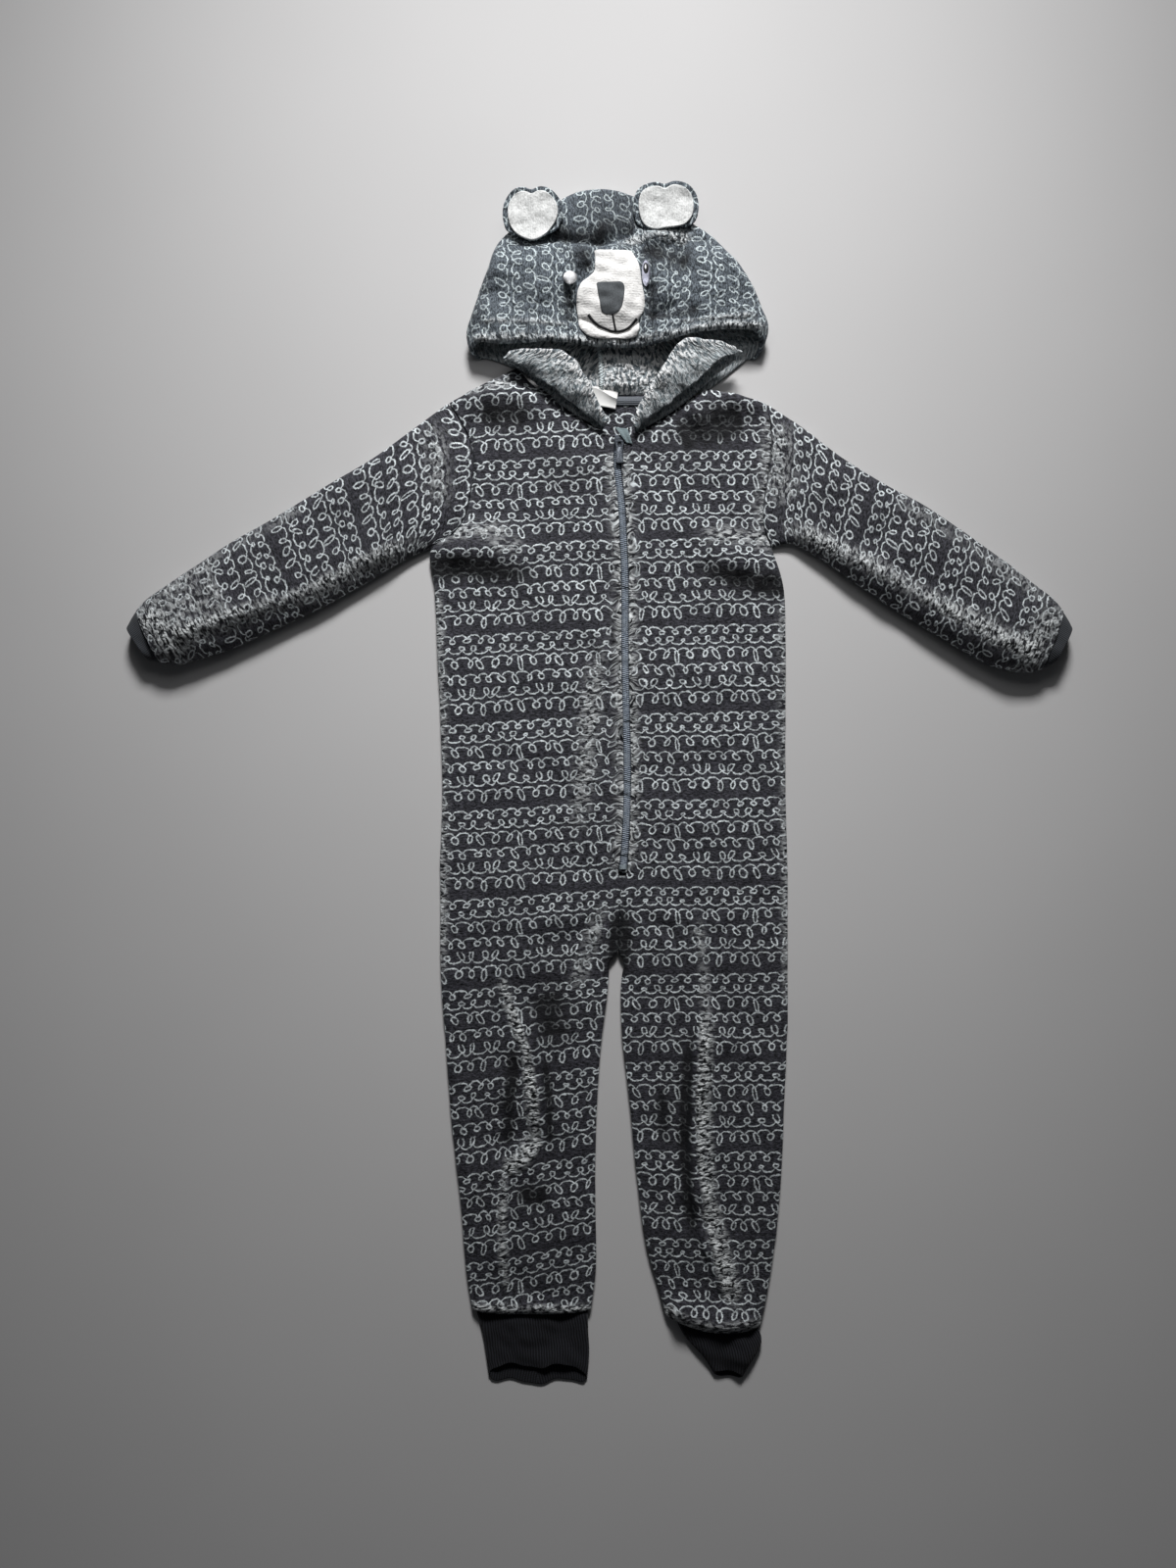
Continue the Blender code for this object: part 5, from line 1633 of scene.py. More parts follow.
# How the sleeves' pile lies: up to 1 ruffled, with a pale painted highlight along crests and cuffs, and
# below 0 painted shade
RIGHT_SLEEVE_NAP_AND_SHADE = listed(
    Crease,
    (((-385, 122), (-350, 134), (-307, 149), (-253, 168), (-220, 186), (-169, 212)), 0.8, 5, 9, 0.1),
    (((-400, 140), (-385, 130), (-372, 112)), 0.8, 10, 10, 0.02),
    (((-395, 160), (-330, 200), (-260, 245)), 0.35, 8, 10, 0.1),
    (((-392, 138), (-366, 148), (-330, 166)), 0.4, 18, 18, 0.1),
    (((-150, 320), (-145, 290), (-140, 240)), 0.4, 10, 10), (((-340, 170), (-180, 255)), -0.2, 50, 50, 0.2),
)
LEFT_SLEEVE_NAP_AND_SHADE = listed(
    Crease,
    (((170, 222), (230, 192), (300, 152), (352, 122), (385, 110)), 0.8, 9, 6, 0.1),
    (((400, 140), (388, 128), (376, 104)), 0.7, 10, 10, 0.02),
    (((395, 162), (330, 205), (260, 250)), 0.3, 10, 8, 0.1),
    (((165, 320), (160, 290), (165, 240)), 0.5, 12, 12), (((340, 170), (180, 255)), -0.12, 50, 50, 0.2),
)
RIGHT_SLEEVE_FOLDS = (
    *listed(
        Crease,
        (((-388, 122), (-350, 133), (-307, 148), (-253, 167), (-220, 185), (-169, 210)), 5, 30, 8, 0.12),
        (((-372, 150), (-362, 128), (-352, 112)), 1.4, 8, 8),
    ),
    Ripples(0.7, 60, 41),
    Ripples(0.3, 22, 42),
)
LEFT_SLEEVE_FOLDS = (
    *listed(
        Crease,
        (((172, 220), (230, 190), (300, 150), (352, 120), (386, 110)), 5, 8, 30, 0.12),
        (((291, 150), (322, 137), (355, 122)), -1.6, 4, 5),
        (((372, 150), (362, 128), (352, 112)), 1.4, 8, 8),
    ),
    Ripples(0.7, 60, 43),
    Ripples(0.3, 22, 44),
)


@dataclass
class Limbs:
    """The sleeves with their jersey bindings, and the ribbed ankle cuffs.

    Args:
        sleeve_rings: Rings of a sleeve's mesh.
        sleeve_around: Columns of its mesh.
    """

    sleeve_rings: int = 140
    sleeve_around: int = 128

    def armhole(self, rows: Sequence[BodyRow]) -> tuple[Place, ...]:
        """The armhole's places on a half of the front."""
        return tuple(Place(r.outer_x, r.outer_y) for r in rows[: UNDERARM_ROW + 1])

    def sleeve(self, side: Side, rows: tuple[TubeRow, ...], front: Sequence[BodyRow]) -> Tube:
        """One sleeve.

        Args:
            side: The wearer's side.
            rows: Its table.
            front: The table of the front that it joins.

        Returns:
            The sleeve's tube.
        """
        rings, around = self.sleeve_rings, self.sleeve_around
        folds = RIGHT_SLEEVE_FOLDS if side is Side.RIGHT else LEFT_SLEEVE_FOLDS
        nap_and_shade = RIGHT_SLEEVE_NAP_AND_SHADE if side is Side.RIGHT else LEFT_SLEEVE_NAP_AND_SHADE
        name, hole = f"sleeve_{side.word}", self.armhole(front)
        return Tube(name, rows, FLEECE, PRINT, Cut(0.29, 0.37), rings, around, folds, nap_and_shade, hole)

    def build(self) -> None:
        """Makes both sides."""
        soft, slack = (Ripples(0.35, 18, 51),), (Ripples(0.35, 18, 51), Ripples(0.9, 36, 52))
        for side, sleeve, binding, ankle, front in (
            (Side.RIGHT, RIGHT_SLEEVE, RIGHT_BINDING, RIGHT_ANKLE, RIGHT_FRONT),
            (Side.LEFT, LEFT_SLEEVE, LEFT_BINDING, LEFT_ANKLE, LEFT_FRONT),
        ):
            self.sleeve(side, sleeve, front).build()
            name = f"sleeve_binding_{side.word}"
            Tube(name, binding, BINDING, JERSEY, Cut(0.12, 0.02), 14, 110, soft).build()
            name = f"ankle_cuff_{side.word}"
            Tube(name, ankle, RIB, CUFF_RIB, Cut(0.21, 0.06), 50, 120, slack, ragged=1.6).build()


# ------------ hood


HOOD_FOLDS = (
    *listed(
        Crease,
        (((-54, 480), (-41, 475), (-20, 472), (0, 470), (18, 474), (34, 482)), -5, 6, 4.5, 0.15),
        (((-46, 467), (-30, 466), (-4, 463), (20, 464), (34, 470)), 2.6, 5, 6, 0.15),
        (((-17, 460), (-15, 454)), 5.5, 8, 8, 0), (((-33, 468), (-33, 457), (-31, 449)), -2, 4, 4),
        (((-5, 463), (-7, 453), (-12, 446)), -3, 3, 3, 0.15),
        (((-30, 430), (-25, 418), (-22, 404)), -4.5, 5, 5), (((44, 465), (62, 459), (82, 452)), -5, 13, 11),
        (((30, 474), (50, 476), (78, 478)), 3.4, 7, 6), (((43, 434), (44, 420), (41, 404)), -4, 4.5, 4.5),
        (((37, 403), (52, 408), (70, 417)), -4.6, 6, 6), (((80, 440), (100, 430), (118, 425)), 1.8, 12, 12),
        (((-100, 440), (-85, 420), (-80, 395)), -2, 12, 12),
        (((-60, 470), (-56, 440), (-58, 405)), 1.6, 10, 10),
        (((-20, 404), (-10, 401), (4, 393), (16, 390), (27, 393), (36, 403)), -1.3, 2, 2, 0.1),
        (((-16, 396), (-4, 390), (14, 386.5), (30, 391)), 1.3, 3, 3, 0.1),
    ),
    Ripples(0.7, 45, 61),
    Ripples(0.3, 16, 62),
)
# How the hood's pile lies: up to 1 ruffled, with a pale painted highlight on the brim's hem and ridges, and
# below 0 painted shade in its folds
HOOD_NAP_AND_SHADE = listed(
    Crease,
    (((-15, 458), (-11, 449)), -0.9, 7.5, 7.5, 0), (((36, 465), (54, 460), (80, 452)), -0.95, 12, 10, 0.1),
    (((-28, 427), (-27, 412), (-26, 400)), -0.8, 6, 6, 0.1),
    (((46, 436), (47, 420), (44, 404)), -0.7, 6, 6, 0.1),
    (((42, 402), (62, 406), (88, 412)), -0.8, 6, 6, 0.1),
    (((-50, 486), (-28, 478), (6, 475)), -1, 8, 7, 0.1),
    (((-10, 500), (10, 512), (24, 506)), -0.4, 14, 14, 0),
    (((-2, 484), (16, 487), (32, 483)), -0.7, 10, 8, 0.1),
    (((-96, 452), (-108, 425), (-112, 400)), -0.5, 10, 10, 0.1),
    (((-110, 388), (-60, 388), (-20, 386), (14, 384)), 0.8, 3, 3, 0.05),
    (((14, 384), (60, 390), (110, 399), (144, 399)), 0.8, 3, 3, 0.05),
    (((20, 472), (48, 477), (80, 476)), 0.9, 6, 6, 0.1),
    (((-108, 402), (-60, 401), (-24, 399)), 0.5, 2.2, 2.2, 0.1),
    (((42, 399), (90, 403), (138, 408)), 0.5, 2.2, 2.2, 0.1),
)


@dataclass
class HoodTop:
    """The hood's upper layer, which the face and the ears lie on.

    Args:
        snout: The stuffed snout's place.
        snout_reach: How wide it is.
        snout_high: How far it stands up.
        middle_x: The hood's middle.
        half_width: From there to its side.
        side_drop: How much lower the layer lies at its sides.
        brim_dip: How much lower the brim lies at its middle, between the lapels.
        dip_reach: How far that reaches across and up.
        folds: The creases and ripples that it lies in.
    """

    snout: Place = Place(10.0, 408.0)
    snout_reach: float = 25.0
    snout_high: float = 3.5
    middle_x: float = 14.0
    half_width: float = 130.0
    side_drop: float = 6.0
    brim_dip: float = 7.0
    dip_reach: tuple[float, float] = (44.0, 34.0)
    folds: tuple[Crease | Ripples, ...] = HOOD_FOLDS

    def middle(self, x: Array, y: Array) -> Array:
        """The height of the middle of the wall at places in plan.

        Args:
            x: The places' first coordinate.
            y: Their second.

        Returns:
            A height for each place.
        """
        x, y = np.broadcast_arrays(np.asarray(x, float), np.asarray(y, float))
        ys, zs = [h.y for h in HOOD_HEIGHTS], [h.z for h in HOOD_HEIGHTS]
        high = sum(np.interp(y + step, ys, zs) for step in (-6, -3, 0, 3, 6)) / 5
        high = high - self.side_drop * ((x - self.middle_x) / self.half_width) ** 2
        wide, tall = self.dip_reach
        dip = ((x - self.middle_x) / wide) ** 2 + (np.maximum(y - BRIM[0].y, 0.0) / tall) ** 2
        high = high - self.brim_dip * np.exp(-dip)
        snout = ((x - self.snout.x) ** 2 + (y - self.snout.y) ** 2) / self.snout_reach**2
        return high + self.snout_high * np.exp(-snout) + relief(self.folds, x, y)

    def face(self, x: Array, y: Array) -> Array:
        """The height of the layer's upper face."""
        return self.middle(x, y) + FLEECE / 2


@dataclass
class Hood:
    """The hood: two sides and a centre strip folded flat, and its fronts turned back as lapels.

    Args:
        top: Its upper layer.
        hem: The radius of the hem's roll at the brim.
        turned: How far the hem is turned in behind the brim.
        curl: The radius of a lapel's curl at its ridge.
        sag: How far a lapel's standing wall sags.
        puffed: How far the lower layer's inside stands up between the lapels.
    """

    top: HoodTop = field(default_factory=HoodTop)
    hem: float = 1.5
    turned: float = 12.0
    curl: float = 2.3
    sag: float = 4.0
    puffed: float = 7.0

    UPPER, TURN, UNDER = 64, 20, 28  # columns of a side's upper layer, fold and lower layer
    HEM_END = (68, 82)  # the columns over which a side's rolled hem dies away
    HALF_STRIP: ClassVar[float] = 24.0  # from the hood's middle to its seams, on the print

    def _hem(self, rows: Array, weight: Array) -> Array:
        """Adds the rolled hem before the first row, where the weight is 1.

        Args:
            rows: The rows by columns of places, from the brim upwards.
            weight: How far each column's hem is rolled, from 0 to 1.

        Returns:
            The same rows with the hem's before them.
        """
        edge = rows[0]
        beside = np.gradient(edge, axis=0)
        inward = np.stack([beside[:, 2], 0 * beside[:, 0], -beside[:, 0]], -1)
        inward /= np.maximum(np.linalg.norm(inward, axis=1, keepdims=True), 1e-9)
        toward = np.sign(np.sum(inward[:3, 2]))
        inward = inward * (-toward if toward > 0 else 1.0)
        out = np.array([0.0, -1.0, 0.0])
        lines = []
        for run in np.linspace(self.turned, 0, 8, endpoint=False):
            lines.append(edge + inward * 2 * self.hem - out * run)
        for angle in np.linspace(math.pi, 0, 14, endpoint=False):
            lines.append(edge + self.hem * (inward * (1 - math.cos(angle)) + out * math.sin(angle)))
        bare = [edge + out * 0.02 * (len(lines) - i) for i in range(len(lines))]
        weight = weight[:, None]
        return np.concatenate([[w * weight + b * (1 - weight) for w, b in zip(lines, bare)], rows])

    def _puff(self, x: Array, y: Array) -> Array:
        """How far the lower layer stands up at places in plan."""
        rise = eased(y, 342, 352) * (1 - eased(y, 376, 408))
        return self.puffed * rise * np.exp(-(((x - 14) / 36) ** 2))

    def overlock(self) -> None:
        """The pale stitching over the seam that shows inside, between the lapels."""
        y = np.arange(346.0, 384.0, 1.4)
        x = along(RIGHT_NECK_SEAM, y)
        sway = 0.6 * np.sin(y * 2.1)
        thread = Stitches(0.75)
        z = FLOOR_MID + self._puff(x, y) + FLEECE / 2 + 0.5
        thread.add(np.stack([x + sway, y, z], -1), np.tile([1.8, 0.6, 0.0], (len(y), 1)))
        place_piece(thread.build("hood_overlock"), OVERLOCK_THREAD)

    def _closed(self, edge: Array) -> Array:
        """The rows that bring the upper layer down on the lower one behind an ear.

        Args:
            edge: The last row of a side's places.

        Returns:
            The rows after it.
        """
        foot = np.minimum(edge[:, 2], FLOOR_MID + FLEECE + SEAM)
        raised = edge[:, 2] > FLOOR_MID + FLEECE
        rows = []
        for turn in np.linspace(0, math.pi / 2, 9)[1:]:
            y = edge[:, 1] + np.where(raised, 2.6, 0.3) * math.sin(turn)
            z = edge[:, 2] + (foot - edge[:, 2]) * (1 - math.cos(turn))
            rows.append(np.stack([edge[:, 0], y, z], -1))
        return np.array(rows)

    def _nap_and_shade(self, points: Array) -> Array:
        """How the pile lies on the upper layer, with painted shade in its folds, and on the lower one's
        inside, ruffled all over there so that its pale painted highlight lightens the shade under the brim.
        """
        x, y, z = np.moveaxis(points, -1, 0)
        # the lower layer's inside near the floor is ruffled all over, so its pale painted highlight
        # lightens the shade under the brim
        inside = (1 - eased(z, 8.5, 10.0)) * (1 - eased(np.abs(x - 15), 55, 80))
        return relief(HOOD_NAP_AND_SHADE, x, y) * eased(z, 10.0, 16.0) + 0.9 * inside

    def _pattern(self, points: Array, middle: int) -> Array:
        """Where each place is on the print, whose rows run up the hood."""
        girth, rise = distances(points, 1), distances(points[:, middle])[:, None]
        return np.stack([np.broadcast_to(rise, girth.shape), girth], -1)

    def side(self, side: Side, outline: Any, seam: Any, neck_seam: Any, rows: int = 90) -> Piece:
        """One side of the hood, folded where it lies on itself.

        Args:
            side: The wearer's side.
            outline: Its outer edge, from the brim up.
            seam: Its seam with the centre strip on the upper layer.
            neck_seam: The same seam on the lower layer.
            rows: Rows of its mesh, without the hem's.

        Returns:
            The piece.
        """

        def risen(y: Array | float, share: float) -> Array | float:
            """A y, moved a share of the way to the hood's top."""
            return y * (1 - share) + HOOD_TOP_Y * share

        sign = side.value
        lines = []
        for share in np.linspace(0, 1, rows):
            outline_y = outline[0].y + (HOOD_TOP_Y - outline[0].y) * share
            fold_x = float(along(outline, outline_y)) - sign * FLEECE / 2
            brim = float(across(BRIM, seam[0].x)) + self.hem
            seam_x = float(along(seam, risen(brim, share))) + sign * SEAM_GAP
            reach = min(FOLD_REACH, 0.6 * abs(fold_x - seam_x))
            turn_x = fold_x - sign * reach
            x = np.linspace(seam_x, turn_x, self.UPPER)
            y = risen(across(BRIM, x) + self.hem, share)
            z = self.top.middle(x, y)
            angle = np.linspace(0, math.pi, self.TURN)[1:-1]
            lower_y = risen(float(across(HOOD_FOOT, turn_x)), share)
            turned = (1 - np.cos(angle)) / 2
            fold_y, fold_z = y[-1] + (lower_y - y[-1]) * turned, z[-1] + (FLOOR_MID - z[-1]) * turned
            fold = np.stack([turn_x + sign * reach * np.sin(angle), fold_y, fold_z], -1)
            end_y = risen(float(across(HOOD_FOOT, neck_seam[0].x)), share)
            end_x = float(along(neck_seam, end_y)) + sign * SEAM_GAP
            under_x = np.linspace(turn_x, end_x, self.UNDER)
            under_y = risen(across(HOOD_FOOT, under_x) + SEAM, share)
            under = np.stack([under_x, under_y, np.full(self.UNDER, FLOOR_MID)], -1)
            lines.append(np.concatenate([np.stack([x, y, z], -1), fold, under]))
        points = np.array([*lines, *self._closed(lines[-1])])
        weight = 1 - eased(np.arange(points.shape[1], dtype=float), *self.HEM_END)
        points = self._hem(points, weight)
        pattern = self._pattern(points, 0)
        pattern[..., 1] = (pattern[..., 1] + self.HALF_STRIP) * sign
        sheet = Sheet(points, pattern, FLEECE, inside_up=side is Side.RIGHT, nap_and_shade=self._nap_and_shade(points))
        name = f"hood_{side.word}"
        piece = lay(sheet, f"fleece_{name}", HOOD_PRINT_LIT, Cut(0.26, 0.17), name)
        sheet.line_inside(piece, PRINT_INSIDE_LIT)
        return piece

    def centre(self, columns: int = 44) -> Piece:
        """The strip from the brim over the crown to the nape, between the two sides.

        Args:
            columns: Columns of its mesh.

        Returns:
            The piece.
        """
        strips = []
        for share in np.linspace(0, 1, columns):
            crown = CROWN_Y + CROWN_BUMP * (1 - (2 * share - 1) ** 2) - FLEECE / 2
            top_end = crown - CROWN_REACH

            def seam_x(y: Array | float, right: Any, left: Any) -> Array:
                """The strip's own x at a y."""
                start, end = along(right, y) + SEAM_GAP, along(left, y) - SEAM_GAP
                return start + (end - start) * share

            brim_x = float(seam_x(BRIM[0].y, RIGHT_HOOD_SEAM, LEFT_HOOD_SEAM))
            y = np.linspace(float(across(BRIM, brim_x)) + self.hem, top_end, 84)
            x = seam_x(y, RIGHT_HOOD_SEAM, LEFT_HOOD_SEAM)
            z = self.top.middle(x, y)
            angle = np.linspace(0, math.pi, 18)[1:-1]
            turned = (1 - np.cos(angle)) / 2
            fold_y = top_end + CROWN_REACH * np.sin(angle)
            fold_x = seam_x(fold_y, RIGHT_HOOD_SEAM, LEFT_HOOD_SEAM)
            fold = np.stack([fold_x, fold_y, z[-1] + (FLOOR_MID - z[-1]) * turned], -1)
            foot_x = float(seam_x(RIGHT_NECK_SEAM[0].y, RIGHT_NECK_SEAM, LEFT_NECK_SEAM))
            under_y = np.linspace(top_end, float(across(HOOD_FOOT, foot_x)) + SEAM, 60)
            under_x = seam_x(under_y, RIGHT_NECK_SEAM, LEFT_NECK_SEAM)
            under = np.stack([under_x, under_y, FLOOR_MID + self._puff(under_x, under_y)], -1)
            strips.append(np.concatenate([np.stack([x, y, z], -1), fold, under]))
        points = self._hem(np.array(strips).transpose(1, 0, 2), np.ones(columns))
        pattern = self._pattern(points, columns // 2)
        pattern[..., 1] -= self.HALF_STRIP
        sheet = Sheet(points, pattern, FLEECE, nap_and_shade=self._nap_and_shade(points))
        piece = lay(sheet, "fleece_hood_centre", HOOD_PRINT_LIT, Cut(0.095, 0.34), "hood_centre")
        sheet.line_inside(piece, PRINT_INSIDE_LIT)
        return piece

    def lapel(self, side: Side, rows: tuple[HemRow, ...]) -> Array:
        """The middle of a lapel's wall, from the neck seam up, over its curl and down its flap.

        Args:
            side: The wearer's side.
            rows: Its table.

        Returns:
            Rows by columns of places.
        """
        table = Track(rows).at(np.linspace(0, 1, 110))[:, None]
        seam = np.concatenate([table[..., 0:2], table[..., 6:7]], -1)
        ridge = np.concatenate([table[..., 2:4], table[..., 7:8]], -1)
        edge = np.concatenate([table[..., 4:6], table[..., 8:9]], -1)
        inward = (ridge - seam) * (1, 1, 0)
        inward /= np.linalg.norm(inward, axis=-1, keepdims=True)
        up = np.array([0, 0, 1.0])
        centre = ridge - inward * (self.curl + FLEECE / 2) - up * self.curl
        wall_top = centre - up * self.curl
        share = np.linspace(0, 1, 34)[:-1, None]
        wall = seam + (wall_top - seam) * share - up * self.sag * share * (1 - share) ** 2
        angle = np.linspace(0, math.pi, 20)[:, None]
        curled = centre + self.curl * (inward * np.sin(angle) - up * np.cos(angle))
        share = np.linspace(0, 1, 22)[1:, None]
        flap = curled[:, -1:] + (edge - curled[:, -1:]) * np.concatenate([share, share, share**2], -1)
        points = np.concatenate([wall, curled, flap], 1)
        soft = np.minimum(np.linspace(0, 3, points.shape[1]), 1.0)
        x, y = points[..., 0].copy(), points[..., 1].copy()
        points[..., 0] += Ripples(0.35, 14, 75 + side.value).at(x, y) * soft
        points[..., 1] += Ripples(0.35, 14, 78 + side.value).at(x, y) * soft
        points[..., 2] += Ripples(0.9, 24, 70 + side.value).at(x, y) * soft
        return points

    def build(self) -> None:
        """Makes the hood's five pieces."""
        self.side(Side.RIGHT, RIGHT_OUTLINE, RIGHT_HOOD_SEAM, RIGHT_NECK_SEAM)
        self.side(Side.LEFT, LEFT_OUTLINE, LEFT_HOOD_SEAM, LEFT_NECK_SEAM)
        self.centre()
        self.overlock()
        for side, rows in ((Side.RIGHT, RIGHT_HOOD_HEM), (Side.LEFT, LEFT_HOOD_HEM)):
            points = self.lapel(side, rows)
            pattern = np.flip(self._pattern(points, 30), -1)
            name = f"hood_front_{side.word}"
            # ruffled along the lapel's curl, which gives its ridge a pale painted highlight
            nap_and_shade = np.interp(np.arange(points.shape[1]), (0, 33, 43, 53, 73), (0.0, 0.4, 1.0, 0.9, 0.0))
            sheet = Sheet(points, pattern, FLEECE, nap_and_shade=nap_and_shade)
            lay(sheet, f"lapel_{side.word}", PRINT_INSIDE_LIT, Cut(0.13, 0.06), name)


# ------------ face and ears


def round_grid(steps: int) -> tuple[Array, Array]:
    """A square grid bent into a disc of radius 1.

    Args:
        steps: Rows and columns of the grid.

    Returns:
        The reach from the middle and the angle of each place.
    """
    line = np.linspace(-1, 1, steps)
    a, b = np.meshgrid(line, line)
    x, y = a * np.sqrt(1 - b * b / 2), b * np.sqrt(1 - a * a / 2)
    return np.hypot(x, y), np.arctan2(y, x)


# Ovals of stitches: the middle, half width, half length, pitch and height over the hood of each
PUPILS = (
    (40.4, 445.6, 2.5, 4.6, 0.4, 0.3),
    (-23.6, 435.4, 1.0, 0.7, 0.4, 0.3),
    (-21.2, 436.4, 0.6, 0.5, 0.4, 0.3),
)
# The eyes' pieces: the thread of each, the thread's radius, and its ovals
EYES = (
    ("stitched_eye_right", WHITE_THREAD, 0.55, ((-25.8, 436.6, 6.6, 5.5, 0.36, 0.0),)),
    ("stitched_eye_left", LILAC_THREAD, 0.34, ((40.5, 441.5, 4.2, 11.0, 0.45, 0.0),)),
    ("stitched_pupils", BLACK_THREAD, 0.36, PUPILS),
    ("stitched_glint", WHITE_THREAD, 0.34, ((40.1, 446.6, 0.8, 2.0, 0.4, 0.65),)),
)


@dataclass
class Face:
    """The bear's white muzzle patch, its felt nose, and its stitched eyes and smile.

    Args:
        top: The layer that they lie on.
        gap: How far the patch's underside is above it.
        relief: The ripples that the patch and the nose lie in.
    """

    top: HoodTop
    gap: float = 0.15
    relief: Ripples = Ripples(0.25, 12, 81)

    def patch(
        self, rows: Sequence[PatchRow], wall: float, base: float, steps: tuple[int, int], edge: float
    ) -> Sheet:
        """A piece that lies on the hood between the rows of its table.

        Args:
            rows: Its table.
            wall: Its cloth's thickness.
            base: How far its underside is above the hood's face.
            steps: Rows and columns of its mesh.
            edge: How far its edge is pulled down by its sewing.

        Returns:
            Its grid.
        """
        table = Track([(0.0, r.y, r.right_x, r.left_x) for r in rows]).at(np.linspace(0, 1, steps[0]))
        share = np.linspace(0, 1, steps[1])[None, :]
        x = table[:, 2:3] + (table[:, 3:4] - table[:, 2:3]) * share
        y = np.broadcast_to(table[:, 1:2], x.shape)
        ends = np.minimum(y - y.min(), y.max() - y)
        sides = np.minimum(x - table[:, 2:3], table[:, 3:4] - x)
        rim = np.minimum(ends, sides)
        z = self.top.face(x, y) + base + wall / 2 - edge * np.exp(-((rim / 1.6) ** 2))
        z = z + self.relief.at(x, y)
        return Sheet(np.stack([x, y, z], -1), np.stack([x, y], -1), wall)

    def build(self) -> None:
        """Makes the patch, the nose and the stitching."""
        patch = self.patch(FACE_ROWS, LINING, self.gap, (110, 84), 0.7)
        lay(patch, "muzzle", WHITE_PILE, Cut(0.064, 0.084), "face_patch")
        on_patch = self.gap + LINING
        nose = self.patch(NOSE_ROWS, FELT, on_patch - 0.1, (60, 50), 0.45)
        lay(nose, "felt_nose", FELT_GREY, Cut(0.026, 0.029), "nose")

        def on_muzzle(x: Array, y: Array) -> Array:
            """The height of the patch's face."""
            return self.top.face(x, y) + on_patch + self.relief.at(x, y) + 0.2

        mouth = Stitches(0.34)
        smile = ((-9.8, 405.5), (-5.5, 400.5), (4, 395), (15, 392.2), (25, 395), (32.5, 402))
        mouth.satin(smile, (2.6, 2.3, 1.9, 1.8, 1.9, 2.4), on_muzzle)
        mouth.satin(((11, 407), (12.6, 400), (14.2, 392.6)), (1.3, 1.4, 1.5), on_muzzle)
        place_piece(mouth.build("stitched_mouth"), BLACK_THREAD)

        def on_hood(x: Array, y: Array) -> Array:
            """The height of the hood's face under the stitching of an eye, a little padded."""
            padded = np.exp(-(((x + 25.8) / 6.0) ** 2) - ((y - 436.6) / 5.2) ** 2)
            return self.top.face(x, y) + 1.3 + 2.4 * padded

        for name, thread, radius, ovals in EYES:
            stitches = Stitches(radius)
            for x, y, half_wide, half_long, pitch, lift in ovals:
                half = (half_wide, half_long)
                stitches.filled(Place(x, y), half, pitch, lambda a, b: on_hood(a, b) + lift)
            place_piece(stitches.build(name), thread)


@dataclass
class Ear:
    """A round ear: a printed back with a white lining that stops short of its rim.

    Args:
        side: The wearer's side that it is on.
        middle: Its middle.
        lining: The lining's outline, from its right round over the top.
        rim: How much of the back shows round the lining's upper part.
        root_z: The height of the back's middle at the ear's root.
        tip_z: Its height at the ear's tip.
        hollow: How far the ear's middle is sunk.
        steps: Rows and columns of its mesh.
    """

    side: Side
    middle: Place
    lining: tuple[Place, ...]
    rim: float = 4.6
    root_z: float = 21.6
    tip_z: float = 28.0
    hollow: float = 1.6
    steps: int = 64

    def outline(self, angle: Array) -> Array:
        """How far the lining reaches from the ear's middle at each angle.

        Args:
            angle: Angles from the wearer's left.

        Returns:
            A distance for each.
        """
        offset = np.array(self.lining) - self.middle
        turns = np.arctan2(offset[:, 1], offset[:, 0])
        reach = np.hypot(offset[:, 0], offset[:, 1])
        order = np.argsort(turns)
        turns, reach = turns[order], reach[order]
        turns = np.concatenate([turns - math.tau, turns, turns + math.tau])
        return curve(angle, turns, np.tile(reach, 3))

    def disc(self, margin: float, base: float, wall: float) -> Sheet:
        """A disc of cloth that follows the outline.

        Args:
            margin: How far it runs past the lining's upper outline.
            base: The height of the middle of its wall at the root.
            wall: Its cloth's thickness.

        Returns:
            Its grid.
        """
        reach, angle = round_grid(self.steps)
        upper = eased(np.sin(angle), -0.85, -0.35)
        edge = self.outline(angle) + margin * upper - 0.4 * (1 - upper) * (margin > 0)
        x = self.middle.x + reach * edge * np.cos(angle)
        y = self.middle.y + reach * edge * np.sin(angle)
        rise = np.clip((y - self.middle.y + 22) / 44, 0, 1)
        z = base + (self.tip_z - self.root_z) * rise - self.hollow * (1 - reach**2)
        z = z + Ripples(0.35, 16, 90 + self.side.value).at(x, y)
        return Sheet(np.stack([x, y, z], -1), np.stack([y, x], -1), wall)

    def build(self) -> None:
        """Makes the back and the lining."""
        back, lining = f"ear_{self.side.word}", f"ear_lining_{self.side.word}"
        disc = self.disc(self.rim, self.root_z, FLEECE)
        lay(disc, f"fleece_{back}", HOOD_PRINT_LIT, Cut(0.06, 0.056), back)
        above = self.root_z + FLEECE / 2 + 0.1 + LINING / 2
        disc = self.disc(0.0, above, LINING)
        lay(disc, f"white_{lining}", EAR_PILE, Cut(0.052, 0.046), lining)


